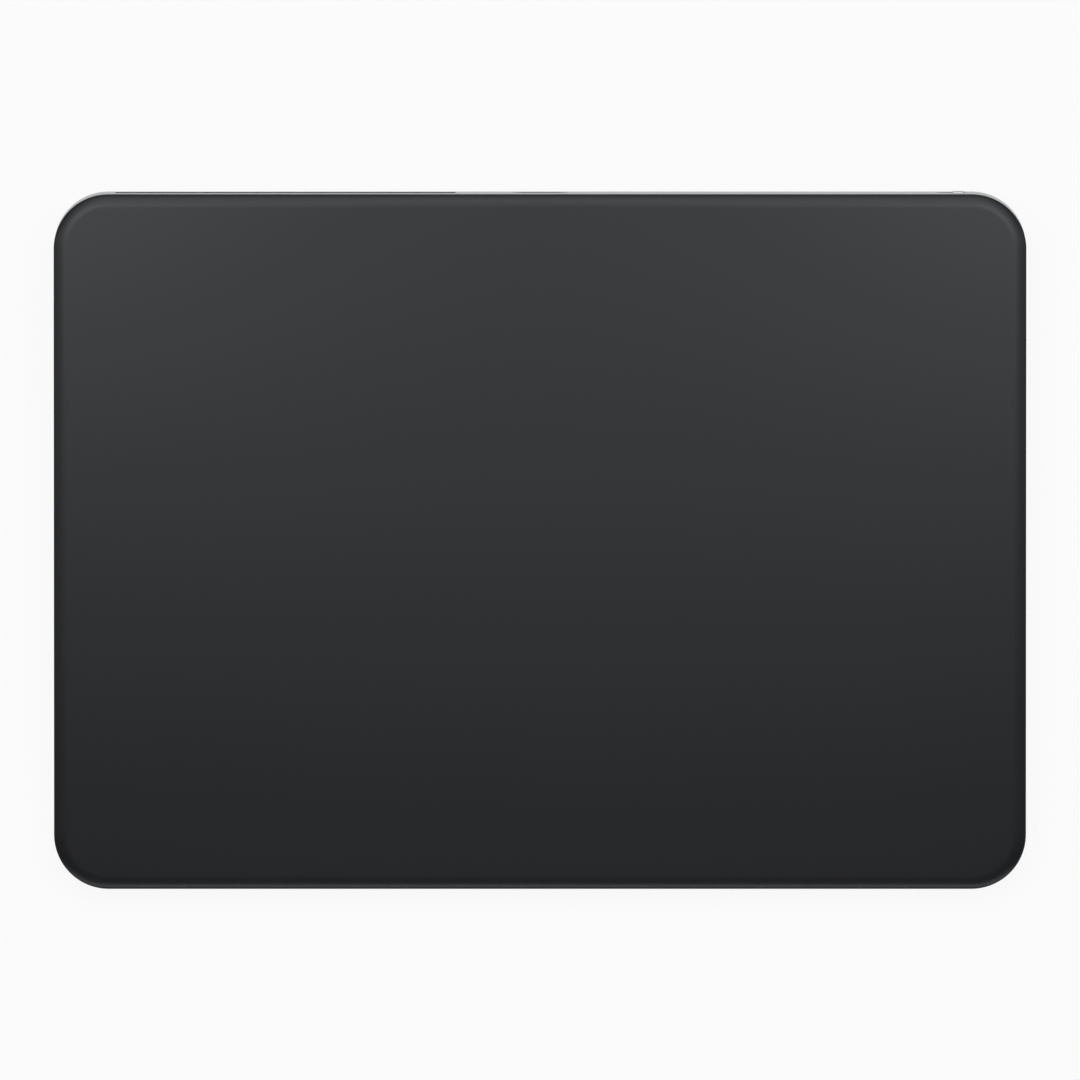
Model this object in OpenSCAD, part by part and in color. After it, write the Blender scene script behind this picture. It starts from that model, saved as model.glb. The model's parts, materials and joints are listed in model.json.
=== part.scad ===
// Desk trackpad: a glass touch plate that floats on four spring leaves in a wedge-shaped aluminium tub.
// Millimetres, +Z up, desk at z = 0, front edge towards -Y, port and power switch in the rear wall.

/* [Outline] */
// Width of the pad, side to side
pad_w = 160; // [152:0.5:170]
// Length of the pad along its sloping face
pad_d = 114.5; // [111:0.5:122]
// Corner radius of the outline
corner_r = 9; // [7.5:0.1:10.5]
// Height of the glass plane above the desk at the front edge
front_h = 4.9; // [4.7:0.05:5.5]
// Height of the glass plane above the desk at the rear edge
rear_h = 11; // [10.5:0.05:12]

/* [Enclosure] */
// Thickness of the walls
wall_t = 1.4; // [1.2:0.05:1.8]
// Thickness of the floor
floor_t = 0.9; // [0.8:0.05:1.1]
// Size of the rounded edge round the underside
edge_r = 1; // [0.5:0.05:1.2]

/* [Feet] */
// Height of the feet below the underside
foot_h = 0.6; // [0.4:0.05:0.8]
// Diameter of each foot
foot_d = 12; // [8:0.5:16]
// Distance of each foot's centre from the sides and ends of the outline
foot_inset = 14; // [11:0.5:20]
// Depth of the seat each foot is glued into
foot_seat = 0.3; // [0.2:0.05:0.5]
// Slanted edge round the sole of each foot
foot_edge = 0.25; // [0.1:0.05:0.4]

/* [Touch plate] */
// Thickness of the touch glass
glass_t = 1.1; // [0.9:0.05:1.3]
// Width of the rolled edge of the glass
roll_w = 2.2; // [1.5:0.1:3]
// Fall of the rolled edge at the outline
roll_drop = 0.5; // [0.3:0.05:0.6]
// Travel of the plate when it is pressed
press_travel = 0.2; // [0.1:0.05:0.3]
// Travel of the plate each way when the drive shifts it
shift_travel = 0.1; // [0.05:0.05:0.2]
// Thickness of the film that bonds the glass to the sensor board
film_t = 0.1; // [0.05:0.05:0.2]
// Thickness of the sensor board
sensor_t = 0.6; // [0.4:0.05:0.8]
// Thickness of the stiffener under the sensor board
stiff_t = 0.3; // [0.25:0.05:0.5]

/* [Spring leaves] */
// Distance of each leaf from the front and rear ends of the outline
leaf_inset = 27.25; // [21.25:0.25:33.25]
// Length of each leaf from puck to anchor
leaf_len = 15; // [13:0.5:18]
// Thickness of each leaf
leaf_t = 0.4; // [0.3:0.05:0.5]
// Width of the neck of each leaf
neck_w = 4.5; // [3.5:0.1:6]
// Length of the anchor tab of each leaf
anchor_l = 8; // [6:0.5:9]
// Width of the anchor tab of each leaf
anchor_w = 12; // [9:0.5:16]
// Diameter of each force puck
puck_d = 8; // [6:0.5:9]
// Thickness of each force puck
puck_t = 0.3; // [0.25:0.05:0.5]
// Thickness of each gel pad
gel_t = 0.3; // [0.2:0.05:0.5]

/* [Haptic drive] */
// Length of the iron core
drive_l = 64; // [48:1:76]
// Number of teeth on the core
tooth_n = 4; // [3:1:5]
// Width of each tooth
tooth_w = 5; // [3:0.5:5]
// Length of each tooth
tooth_l = 6; // [4:0.5:8]
// Depth of the yoke behind the teeth
yoke_d = 4; // [3:0.5:6]
// Depth of the attractor bar on the plate
attractor_d = 3; // [2:0.5:5]
// Thickness of the tray that carries the core
tray_t = 0.4; // [0.3:0.05:0.6]

/* [Battery] */
// Width of the battery cell
cell_w = 92; // [70:1:96]
// Depth of the battery cell
cell_d = 42; // [34:0.5:46]
// Thickness of the tape under the cell
tape_t = 0.15; // [0.1:0.05:0.3]
// Width of the protection board on the cell
guard_w = 40; // [34:1:60]

/* [Main board] */
// Depth of the main board, front to rear
main_d = 12; // [11:0.25:13]
// Thickness of the main board
main_t = 0.8; // [0.6:0.05:1.2]
// Height of the main board above the floor
main_lift = 0.9; // [0.6:0.05:1.3]

/* [Port] */
// Width of the opening inside the port shell
port_w = 8.34; // [8.2:0.02:8.5]
// Height of the opening inside the port shell
port_h = 2.56; // [2.5:0.02:2.7]
// Wall of the port shell
shell_t = 0.25; // [0.2:0.05:0.35]
// Length of the port shell
shell_l = 7.2; // [6.6:0.1:8]
// Thickness of the tongue in the port
tongue_t = 0.7; // [0.6:0.05:0.8]
// Width of the tongue in the port
tongue_w = 6.69; // [6.5:0.01:6.9]

/* [Power switch] */
// Distance of the switch slot's middle from the end of the corner arc
switch_inset = 3.3; // [3:0.1:8]
// Length of the knob along the wall
knob_l = 2.2; // [1.6:0.1:2.6]
// Height of the knob
knob_h = 1.8; // [1.4:0.1:2]
// Travel of the knob
switch_travel = 2.3; // [1.6:0.1:2.6]
// How far the knob stands out of the wall
knob_proud = 0.25; // [0.1:0.05:0.4]

/* [Antenna] */
// Length of the antenna window
win_l = 56; // [40:1:60]
// Height of the antenna window
win_h = 4; // [3.2:0.1:4.2]
// Distance of the window's end from the end of the corner arc
win_inset = 1.1; // [0.5:0.1:4]

/* [Hidden] */
$fn = 64;
CORNERS = [["front_left", -1, -1], ["front_right", 1, -1], ["rear_left", -1, 1], ["rear_right", 1, 1]];
SIDES = [["left", -1], ["right", 1]];

// Clearances: glued or pushed together, sliding, running past each other, and between bays
fit_gap = 0.04;
slide_gap = 0.15;
run_gap = 0.2;
rim_gap = 0.1;
bay_gap = 1.5;
cell_gap = 0.4;
over = 1;

// Slope of the plate and the levels of its layers, measured square to the glass from the rim of the tub
tilt = asin((rear_h - front_h) / pad_d);
slit = press_travel + rim_gap;
w_top = slit + glass_t;
w_film = slit - film_t;
w_sensor = w_film - sensor_t;
w_stiff = w_sensor - stiff_t;
w_gel = w_stiff - gel_t;
w_puck = w_gel - puck_t;
w_leaf = w_puck - leaf_t;
roll_r = (pow(roll_w, 2) + pow(roll_drop, 2)) / (2 * roll_drop);
deep = rear_h;
vast = 2 * pad_w;

// Levels of the tub, and the middle of the rim plane
z_under = foot_h;
z_floor = foot_h + floor_t;
origin_z = (front_h + rear_h) / 2 - w_top * cos(tilt);
reach_front = pad_d / 2 * cos(tilt) + (w_top - roll_drop) * sin(tilt);
reach_rear = pad_d / 2 / cos(tilt) + (origin_z - z_under - edge_r) * tan(tilt);
origin_y = (reach_front - reach_rear) / 2;
under_y = origin_y + (origin_z - z_under - edge_r) * tan(tilt);

// Places on the sloping walls and planes: y on a wall, height of a plane, floor level under the plate
function wall_y(z, v) = origin_y + v / cos(tilt) - (z - origin_z) * tan(tilt);
function plane_z(y, w) = origin_z + (y - origin_y) * tan(tilt) + w / cos(tilt);
function floor_w(v) = (z_floor - origin_z - v * sin(tilt)) / cos(tilt);
function slope_v(y) = (y - origin_y) / cos(tilt);

// Micro screws
head_d = 2.2;
head_h = 0.45;
shank_d = 1.2;
thread_l = 1;
drive_w = 0.3;
drive_l2 = 1.2;
drive_h = 0.25;
boss_d = 4;

// Underside edge: an arc a little flatter than a quarter circle, so that it meets both faces at an angle
edge_flat = 1.25;
edge_c = edge_r * (1 + sqrt(2 * pow(edge_flat, 2) - 1)) / 2;
edge_step = 0.4;
edge_corner = corner_r - edge_step;

// Slanted edges: round the openings in the rear wall, the knob's face and the mouth of the port shell
lip_c = 0.15;
lip_reach = 0.3;

// Gasket in the slit under the glass
gasket_inset = 0.45;
gasket_w = wall_t - gasket_inset - run_gap;

// Touch plate in plan
sensor_gap = 1.6;
sensor_inset = wall_t + sensor_gap;
stiff_inset = 2;
stiff_r = 4;

// Spring leaves in plan, measured outwards from the puck
leaf_y = pad_d / 2 - leaf_inset;
leaf_gap = 1;
anchor_r = 1.5;
leaf_rim = 0.5;
leaf_hole = 3.5;
anchor_u = pad_w / 2 - wall_t - leaf_gap - anchor_l / 2;
puck_u = anchor_u - leaf_len;
stiff_u = anchor_u - anchor_l / 2 - leaf_rim;
stiff_v = pad_d / 2 - sensor_inset - stiff_inset;
gel_rim = 0.5;
gauge_l = 3;
gauge_t = 0.1;
gauge_x = (puck_d / 2 + leaf_rim + leaf_len - anchor_l / 2) / 2;

// Main board and what stands on it
main_gap = 0.5;
z_main = z_floor + main_lift;
z_top = z_main + main_t;
main_u = pad_w / 2 - corner_r;
y_main1 = wall_y(z_top, pad_d / 2 - wall_t) - main_gap;
y_main0 = y_main1 - main_d;
y_main = (y_main0 + y_main1) / 2;
MAIN_SCREWS = [-56, -23.5, 22, 57];
socket_h = 0.7;
socket_d = 4;
socket_inset = 4;
y_socket = y_main0 + socket_inset;
flex_t = 0.15;

// Port
shell_w = port_w + 2 * shell_t;
shell_h = port_h + 2 * shell_t;
port_z = z_top + shell_h / 2;
port_gap = 0.12;
mouth_inset = 0.3;
y_rear = wall_y(port_z, pad_d / 2);
w_rear = (port_z - origin_z - pad_d / 2 * sin(tilt)) / cos(tilt);
y_mouth = y_rear - mouth_inset;
y_stern = y_mouth - shell_l;
plug_l = 1.9;
tongue_inset = 0.8;
contact_n = 12;
contact_pitch = 0.5;
contact_w = 0.26;
contact_t = 0.05;
contact_l = 3.4;
contact_inset = 0.4;
clamp_t = 0.3;
clamp_d = 3.6;
clamp_gap = 0.1;
clamp_ear = 3;
clamp_u = shell_w / 2 + clamp_gap + clamp_t;
y_clamp = y_stern + shell_l / 2 - wall_t;

// Power switch
slot_gap = 0.1;
end_gap = 0.2;
skin_t = 0.8;
cover = 0.2;
slider_t = 0.6;
slider_rim = 0.4;
knob_r = 0.5;
flag_t = 0.1;
stem_w = 1.2;
stem_h = 1;
stem_l = 1.2;
can_wall = 0.8;
can_d = 3.2;
switch_x = main_u - switch_inset;
slot_l = knob_l + switch_travel + 2 * end_gap;
slot_h = knob_h + 2 * slot_gap;
knob_x = switch_x + switch_travel / 2;
slider_h = slot_h + 2 * slider_rim;
slider_x0 = switch_x - slot_l / 2 - cover;
slider_x1 = switch_x + slot_l / 2 + cover + switch_travel;
pocket_u = slider_x1 - switch_x + end_gap;
y_pocket = y_rear - skin_t;
y_slider1 = y_pocket - slide_gap;
y_slider0 = y_slider1 - slider_t;
y_can1 = y_slider0 - slide_gap;
can_l = stem_w + switch_travel + 2 * end_gap + 2 * can_wall;

// Antenna window
win_r = 0.8;
win_inset_y = 0.05;
win_x = -main_u + win_inset + win_l / 2;
strip_inset = 2;
strip_tail = 2.4;
tail_w = 3;
tail_x = win_x + win_l / 2 - 2 * strip_inset - tail_w;

// Battery
cell_r = 2;
guard_d = 4;
guard_t = 1;
ledge_t = 0.3;
ledge_inset = 4;
z_guard1 = z_top + socket_h;
z_guard0 = z_guard1 - guard_t;
y_cell1 = y_main0 - bay_gap - guard_d;
y_cell0 = y_cell1 - cell_d;
z_cell0 = z_floor + tape_t;
z_cell1 = plane_z(y_cell0, w_stiff - press_travel - cell_gap);
power_x = 13;
power_w = 6;

// Haptic drive, measured in the sloping frame of the plate
tray_lift = 0.6;
ear_l = 7;
ear_rim = 1;
coil_wall = 0.5;
coil_side = 2;
coil_gap = 0.2;
tooth_tip = 0.5;
v_yoke1 = slope_v(y_cell0) - bay_gap;
v_yoke0 = v_yoke1 - yoke_d;
v_teeth = v_yoke0 - tooth_l;
w_tray = floor_w(v_teeth) + tray_lift;
w_core = w_tray + tray_t;
core_h = w_stiff - press_travel - run_gap - w_core;
pull_gap = shift_travel + run_gap;

// Sensor flex between the two boards, bent into a C
sensor_x = -14;
sensor_w = 9;
bend_gap = 1;
z_bend0 = z_top + socket_h;
z_bend1 = plane_z(y_socket - socket_d / 2 - bend_gap, w_sensor - socket_h);
bend_r = (z_bend1 - z_bend0) / 2;
bend_leg = socket_d + bend_gap;

// Flexes on the floor
strand_w = 2.5;
strand_x = cell_w / 2 + strand_w;
gauge_u = puck_u + gauge_x;
under_main = 2;

// Touch chips in their window of the stiffener
CHIPS = [[30, 8], [41, 6]];
chip_t = 0.9;
chip_v = slope_v(y_socket) - bay_gap;
win_gap = 1;

// Parts on the main board: middle, width and depth
BOARD_CHIPS = [[-39, 7, 6], [29, 5, 5], [38, 7, 7], [49, 4, 4]];
board_chip_t = 0.9;
shield_x = -39;
shield_w = 22;
shield_d = 9;
shield_h = 1.5;
shield_t = 0.2;

// Colours
ALUMINIUM = [0.77, 0.77, 0.78];
BLACK = [0.2, 0.2, 0.21];
DARK = [0.12, 0.12, 0.13];
STEEL = [0.65, 0.66, 0.68];
GOLD = [0.85, 0.68, 0.3];
BOARD = [0.1, 0.28, 0.2];
COPPER = [0.75, 0.42, 0.22];
RUBBER = [0.8, 0.8, 0.8];
AMBER = [0.72, 0.45, 0.15];
GREEN = [0.2, 0.75, 0.3];

// Frame of the plate: x to the right, y up the slope, z square to the glass, origin on the rim plane
module tilted() translate([0, origin_y, origin_z]) rotate([tilt, 0, 0]) children();

// Everything above a level
module above(z) translate([-vast / 2, -vast / 2, z]) cube(vast);

// Rectangle with round corners, about the origin
module rounded(w, d, r) {
  square([w - 2 * r, d], center = true);
  square([w, d - 2 * r], center = true);
  for (x = [-1, 1], y = [-1, 1]) translate([x * (w / 2 - r), y * (d / 2 - r)]) circle(r);
}

// Carries a profile round a rounded rectangle; the profile's x runs outwards from the corner centres
module band(w, d, r) {
  for (k = [0:3]) {
    a = k % 2 == 0 ? w : d;
    b = k % 2 == 0 ? d : w;
    rotate([0, 0, 90 * k]) {
      translate([r - a / 2, b / 2 - r, 0]) rotate([90, 0, 90]) linear_extrude(a - 2 * r) children();
      translate([a / 2 - r, b / 2 - r, 0]) rotate_extrude(angle = 90) children();
    }
  }
}

// Slab of the outline's shape, set in by a distance, from one level of the plate frame to another
module pad_slab(inset, w0, w1) {
  translate([0, 0, w0]) linear_extrude(w1 - w0)
    rounded(pad_w - 2 * inset, pad_d - 2 * inset, corner_r - inset);
}

// Shape drawn on the rear wall, carried along y from one place to another
module along_y(x, y0, y1, z) translate([x, y0, z]) rotate([-90, 0, 0]) linear_extrude(y1 - y0) children();

// Slot with round ends
module stadium(w, h) rounded(w, h, h / 2 - fit_gap);

// Local frame of one spring leaf: x runs outwards from the puck to the anchor
module at_leaf(c) {
  tilted() translate([c[1] * puck_u, c[2] * leaf_y, 0]) mirror([c[1] < 0 ? 1 : 0, 0, 0]) children();
}

// Places of the screws, each frame with the screw's seat at its origin
module at_leaf_screws(w) {
  for (c = CORNERS, s = [-1, 1]) at_leaf(c) translate([leaf_len, s * leaf_hole, w]) children();
}

module at_tray_screws(w) {
  for (x = [-1, 1], v = [v_teeth, v_yoke1]) {
    s = v == v_teeth ? 1 : -1;
    tilted() translate([x * (drive_l / 2 + ear_l / 2), v + s * boss_d / 2, w]) children();
  }
}

module at_board_screws(z) for (x = MAIN_SCREWS) translate([x, y_main, z]) children();

module at_clamp_screws(z) {
  for (x = [-1, 1]) translate([x * (clamp_u + clamp_ear / 2), y_clamp, z]) children();
}

// Micro screw with a cross recess, seat at the origin, shank downwards
module screw(l) {
  difference() {
    union() {
      cylinder(h = head_h, d = head_d);
      translate([0, 0, -l]) cylinder(h = l + head_h / 2, d = shank_d);
    }
    for (a = [0, 90]) rotate([0, 0, a]) translate([-drive_l2 / 2, -drive_w / 2, head_h - drive_h])
      cube([drive_l2, drive_w, over]);
  }
}

// Tapped hole below a seat
module tapped() {
  tap_l = thread_l + slide_gap;
  translate([0, 0, -tap_l]) cylinder(h = tap_l + over, d = shank_d + 2 * fit_gap);
}

// Clearance hole through what is screwed down
module bored() translate([0, 0, -over]) cylinder(h = 2 * over, d = shank_d + 2 * slide_gap);

// Profile that rounds the edge of the underside
module edge_cut() {
  difference() {
    translate([edge_corner - edge_c, -over]) square([edge_c + over, edge_c + over]);
    translate([edge_corner - edge_c, edge_c]) circle(edge_flat * edge_r);
  }
}

// Profiles that slant the edge of an opening or of a knob whose side is at r, where it meets the face at 0
module lip_cut(r, c) {
  polygon([[r - lip_reach, -c - lip_reach], [r + c + lip_reach, lip_reach], [r - lip_reach, lip_reach]]);
}

module knob_cut(r, c) {
  polygon([[r - c - lip_reach, lip_reach], [r + lip_reach, -c - lip_reach], [r + lip_reach, lip_reach]]);
}

// Frame of the rear wall's outer face, level with the port: z runs out of the wall
module on_rear(x) tilted() translate([x, pad_d / 2, w_rear]) rotate([-90, 0, 0]) children();

// Cut that slants the edge of a slot with round ends
module lip(w, h, c) band(w, h, h / 2 - fit_gap) lip_cut(h / 2 - fit_gap, c);

// Bosses that stand on the floor of the tub
module bosses() {
  for (c = CORNERS) at_leaf(c) translate([leaf_len, 0, -deep]) linear_extrude(deep + w_leaf)
    rounded(anchor_l, anchor_w, anchor_r);
  at_tray_screws(-deep) cylinder(h = deep + w_tray, d = boss_d);
  at_board_screws(0) cylinder(h = z_main, d = boss_d);
  at_clamp_screws(0) cylinder(h = z_main, d = boss_d);
}

// Aluminium tub: a wedge with leaning front and rear walls, bosses inside, openings in the rear wall
module enclosure() {
  color(ALUMINIUM) difference() {
    union() {
      difference() {
        intersection() {
          tilted() pad_slab(0, -deep, 0);
          above(z_under);
        }
        intersection() {
          tilted() pad_slab(wall_t, -deep, over);
          above(z_floor);
        }
        translate([0, under_y, z_under]) band(pad_w, pad_d / cos(tilt), edge_corner) edge_cut();
      }
      intersection() {
        bosses();
        above(z_floor - floor_t / 2);
      }
    }
    at_leaf_screws(w_leaf) tapped();
    at_tray_screws(w_tray) tapped();
    at_board_screws(z_main) tapped();
    at_clamp_screws(z_main) tapped();
    along_y(0, y_rear - wall_t - over, y_rear + over, port_z)
      stadium(shell_w + 2 * port_gap, shell_h + 2 * port_gap);
    along_y(switch_x, y_rear - wall_t - over, y_rear + over, port_z) stadium(slot_l, slot_h);
    on_rear(0) lip(shell_w + 2 * port_gap, shell_h + 2 * port_gap, lip_c);
    on_rear(switch_x) lip(slot_l, slot_h, lip_c);
    translate([switch_x - pocket_u, y_pocket - wall_t, port_z - slider_h / 2 - slide_gap])
      cube([2 * pocket_u, wall_t, slider_h + 2 * slide_gap]);
    along_y(win_x, y_rear - wall_t - over, y_rear + over, port_z) rounded(win_l, win_h, win_r);
    for (c = CORNERS) at_foot(c, z_under) cylinder(h = foot_seat, d = foot_d + 2 * slide_gap);
  }
}

module at_foot(c, z) {
  translate([c[1] * (pad_w / 2 - foot_inset), under_y + c[2] * (pad_d / 2 - foot_inset), z]) children();
}

// Rubber foot with a slanted edge round the sole
module foot(c) {
  color(RUBBER) at_foot(c, 0) {
    cylinder(h = foot_edge, d1 = foot_d - 2 * foot_edge, d2 = foot_d);
    translate([0, 0, foot_edge]) cylinder(h = foot_h + foot_seat - foot_edge, d = foot_d);
  }
}

// Plastic insert that lets the radio through the rear wall
module antenna_window() {
  color(DARK) intersection() {
    along_y(win_x, y_rear - wall_t - over, y_rear + over, port_z)
      rounded(win_l - 2 * fit_gap, win_h - 2 * fit_gap, win_r - fit_gap);
    tilted() translate([-pad_w / 2, pad_d / 2 - wall_t, -deep]) cube([pad_w, wall_t - win_inset_y, deep]);
  }
}

// Printed antenna glued behind the window, with a tail on to the main board
module antenna_strip() {
  v = pad_d / 2 - wall_t;
  w = (port_z - origin_z - v * sin(tilt)) / cos(tilt);
  color(AMBER) {
    tilted() translate([win_x - win_l / 2 + strip_inset, v - flex_t, w - shell_h / 2])
      cube([win_l - 2 * strip_inset, flex_t, shell_h]);
    translate([tail_x, y_main1 + main_gap - strip_tail, z_top])
      cube([tail_w, strip_tail - flex_t / 2, flex_t]);
  }
}

// Soft seal in the slit between the rim of the tub and the glass
module rim_gasket() {
  color(DARK) tilted() difference() {
    pad_slab(gasket_inset, 0, slit);
    pad_slab(gasket_inset + gasket_w, -over, slit + over);
  }
}

// Profile of the glass from the corner centre outwards: flat, then rolled down to the outline
module glass_edge() {
  square([corner_r - roll_w, glass_t]);
  intersection() {
    translate([corner_r - roll_w, 0]) square([roll_w, 2 * glass_t]);
    translate([corner_r - roll_w, glass_t - roll_r]) circle(roll_r);
  }
}

// Touch glass with its edge rolled down all round
module touch_glass() {
  core_w = pad_w - 2 * corner_r;
  core_d = pad_d - 2 * corner_r;
  color(BLACK) tilted() translate([0, 0, slit]) {
    band(pad_w, pad_d, corner_r) glass_edge();
    translate([-core_w / 2, -core_d / 2, 0]) cube([core_w, core_d, glass_t]);
  }
}

module bonding_film() {
  color(DARK) tilted() pad_slab(sensor_inset, w_film, slit);
}

module sensor_board() {
  color(BOARD) tilted() pad_slab(sensor_inset, w_sensor, w_film);
}

// Touch chips under the sensor board
module touch_chips() {
  color(DARK) tilted() for (c = CHIPS) translate([c[0] - c[1] / 2, chip_v - c[1] / 2, w_sensor - chip_t])
    cube([c[1], c[1], chip_t]);
}

// Socket under the sensor board for the sensor flex
module sensor_socket() {
  color(DARK) tilted()
    translate([sensor_x - sensor_w / 2 - over, slope_v(y_socket) - socket_d / 2, w_sensor - socket_h])
    cube([sensor_w + 2 * over, socket_d, socket_h]);
}

// Sheet steel stiffener with windows round the chips and the socket
module plate_stiffener() {
  chip_w = CHIPS[1][0] - CHIPS[0][0] + (CHIPS[0][1] + CHIPS[1][1]) / 2;
  chip_x = CHIPS[0][0] - CHIPS[0][1] / 2 + chip_w / 2;
  color(STEEL) tilted() translate([0, 0, w_stiff]) linear_extrude(stiff_t) difference() {
    rounded(2 * stiff_u, 2 * stiff_v, stiff_r);
    translate([chip_x, chip_v]) rounded(chip_w + 2 * win_gap, CHIPS[0][1] + 2 * win_gap, win_gap);
    translate([sensor_x, slope_v(y_socket)])
      rounded(sensor_w + 2 * over + 2 * win_gap, socket_d + 2 * win_gap, win_gap);
  }
}

// Iron bar on the plate that the core pulls
module haptic_attractor() {
  w0 = w_core + press_travel + run_gap;
  color(STEEL) tilted() translate([-drive_l / 2, v_teeth - pull_gap - attractor_d, w0])
    cube([drive_l, attractor_d, w_stiff - w0]);
}

// Tray under the core, with an ear and two screws at each end
module haptic_tray() {
  tray_l = drive_l + 2 * ear_l;
  color(STEEL) difference() {
    tilted() translate([-tray_l / 2, v_teeth, w_tray]) cube([tray_l, v_yoke1 - v_teeth, tray_t]);
    at_tray_screws(w_core) bored();
  }
}

function tooth_x(i) = (i - (tooth_n - 1) / 2) * drive_l / tooth_n;

// Iron core: a yoke with teeth towards the attractor
module haptic_core() {
  color(STEEL) tilted() {
    translate([-drive_l / 2, v_yoke0, w_core]) cube([drive_l, yoke_d, core_h]);
    for (i = [0:tooth_n - 1]) translate([tooth_x(i) - tooth_w / 2, v_teeth, w_core + coil_wall])
      cube([tooth_w, tooth_l + yoke_d / 2, core_h - 2 * coil_wall]);
  }
}

// One coil round each tooth
module haptic_coils() {
  coil_l = tooth_l - tooth_tip - coil_gap;
  color(COPPER) tilted() for (i = [0:tooth_n - 1])
    translate([tooth_x(i), v_teeth + tooth_tip, w_core + core_h / 2])
    rotate([-90, 0, 0]) linear_extrude(coil_l) difference() {
      rounded(tooth_w + 2 * coil_side, core_h, coil_wall);
      square([tooth_w + 2 * fit_gap, core_h - 2 * coil_wall + 2 * fit_gap], center = true);
    }
}

module haptic_screws() {
  color(STEEL) at_tray_screws(w_core) screw(tray_t + thread_l);
}

module leaf_screws() {
  color(STEEL) at_leaf_screws(w_puck) screw(leaf_t + thread_l);
}

module board_screws() {
  color(STEEL) at_board_screws(z_top) screw(main_t + thread_l);
}

module clamp_screws() {
  color(STEEL) at_clamp_screws(z_top + clamp_t) screw(clamp_t + main_t + thread_l);
}

// Spring leaf: round pad under the puck, narrow neck, tab screwed to its boss
module spring_leaf(c) {
  color(STEEL) at_leaf(c) translate([0, 0, w_leaf]) linear_extrude(leaf_t) difference() {
    union() {
      circle(d = puck_d + 2 * leaf_rim);
      translate([0, -neck_w / 2]) square([leaf_len, neck_w]);
      translate([leaf_len, 0]) rounded(anchor_l, anchor_w, anchor_r);
    }
    for (s = [-1, 1]) translate([leaf_len, s * leaf_hole]) circle(d = shank_d + 2 * slide_gap);
  }
}

// Strain gauge under the neck of a leaf
module strain_gauge(c) {
  color(AMBER) at_leaf(c) translate([gauge_x - gauge_l / 2, -gauge_l / 2, w_leaf - gauge_t])
    cube([gauge_l, gauge_l, gauge_t]);
}

module force_puck(c) {
  color(STEEL) at_leaf(c) translate([0, 0, w_puck]) cylinder(h = puck_t, d = puck_d);
}

module gel_pad(c) {
  color(RUBBER) at_leaf(c) translate([0, 0, w_gel]) cylinder(h = gel_t, d = puck_d - 2 * gel_rim);
}

// Flex along one side of the floor, with a riser to each gauge and one to the main board
module gauge_flex(side) {
  y0 = origin_y - leaf_y - over;
  y1 = y_main0 + under_main;
  color(AMBER) {
    translate([side * gauge_u - strand_w / 2, y0, z_floor]) cube([strand_w, y1 - y0, flex_t]);
    translate([side * gauge_u - strand_w / 2, y1 - flex_t, z_floor]) cube([strand_w, flex_t, main_lift]);
    intersection() {
      tilted() for (v = [-leaf_y, leaf_y]) translate([side * gauge_u - strand_w / 2, v - flex_t / 2, -deep])
        cube([strand_w, flex_t, deep + w_leaf - gauge_t]);
      above(z_floor);
    }
  }
}

// Flex from the drive to the main board: along the floor beside the cell, with a riser at each end
module haptic_flex() {
  x0 = drive_l / 2 + ear_l - ear_rim;
  v = (v_teeth + v_yoke1) / 2;
  y0 = origin_y + v * cos(tilt) - strand_w / 2;
  y1 = y_main0 + under_main;
  color(AMBER) {
    translate([x0, y0, z_floor]) cube([strand_x + strand_w / 2 - x0, strand_w, flex_t]);
    translate([strand_x - strand_w / 2, y0, z_floor]) cube([strand_w, y1 - y0, flex_t]);
    translate([strand_x - strand_w / 2, y1 - flex_t, z_floor]) cube([strand_w, flex_t, main_lift]);
    intersection() {
      tilted() translate([x0 + flex_t, v - strand_w / 4, -deep])
        cube([flex_t, strand_w / 2, deep + w_tray]);
      above(z_floor);
    }
  }
}

// Flex from the sensor board to the main board, bent into a C so that the plate can move
module sensor_flex() {
  color(AMBER) translate([sensor_x - sensor_w / 2, y_socket - socket_d / 2 - bend_gap, z_bend0 + bend_r])
    rotate([90, 0, 90]) linear_extrude(sensor_w) {
      difference() {
        circle(bend_r);
        circle(bend_r - flex_t);
        translate([0, -2 * bend_r]) square(4 * bend_r);
      }
      translate([0, -bend_r]) square([bend_leg, flex_t]);
      translate([0, bend_r - flex_t]) square([bend_leg, flex_t]);
    }
}

module battery_tape() {
  color(DARK) translate([0, (y_cell0 + y_cell1) / 2, z_floor]) linear_extrude(tape_t)
    rounded(cell_w - 2 * cell_r, cell_d - 2 * cell_r, cell_r);
}

// Pouch cell with the sealed ledge that carries its protection board
module battery_cell() {
  color(STEEL) {
    translate([0, (y_cell0 + y_cell1) / 2, z_cell0]) linear_extrude(z_cell1 - z_cell0)
      rounded(cell_w, cell_d, cell_r);
    translate([-guard_w / 2 - ledge_inset, y_cell1 - over, z_guard0 - ledge_t])
      cube([guard_w + 2 * ledge_inset, guard_d + over, ledge_t]);
  }
}

module battery_guard() {
  color(BOARD) translate([-guard_w / 2, y_cell1, z_guard0]) cube([guard_w, guard_d, guard_t]);
}

module battery_flex() {
  y0 = y_cell1 + guard_d / 2;
  y1 = y_socket + socket_d / 2;
  color(AMBER) translate([power_x - power_w / 2, y0, z_guard1]) cube([power_w, y1 - y0, flex_t]);
}

module main_board() {
  color(BOARD) difference() {
    translate([-main_u, y_main0, z_main]) cube([2 * main_u, main_d, main_t]);
    at_board_screws(z_top) bored();
    at_clamp_screws(z_top) bored();
  }
}

module board_chips() {
  color(DARK) for (c = BOARD_CHIPS) translate([c[0] - c[1] / 2, y_main - c[2] / 2, z_top])
    cube([c[1], c[2], board_chip_t]);
}

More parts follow.
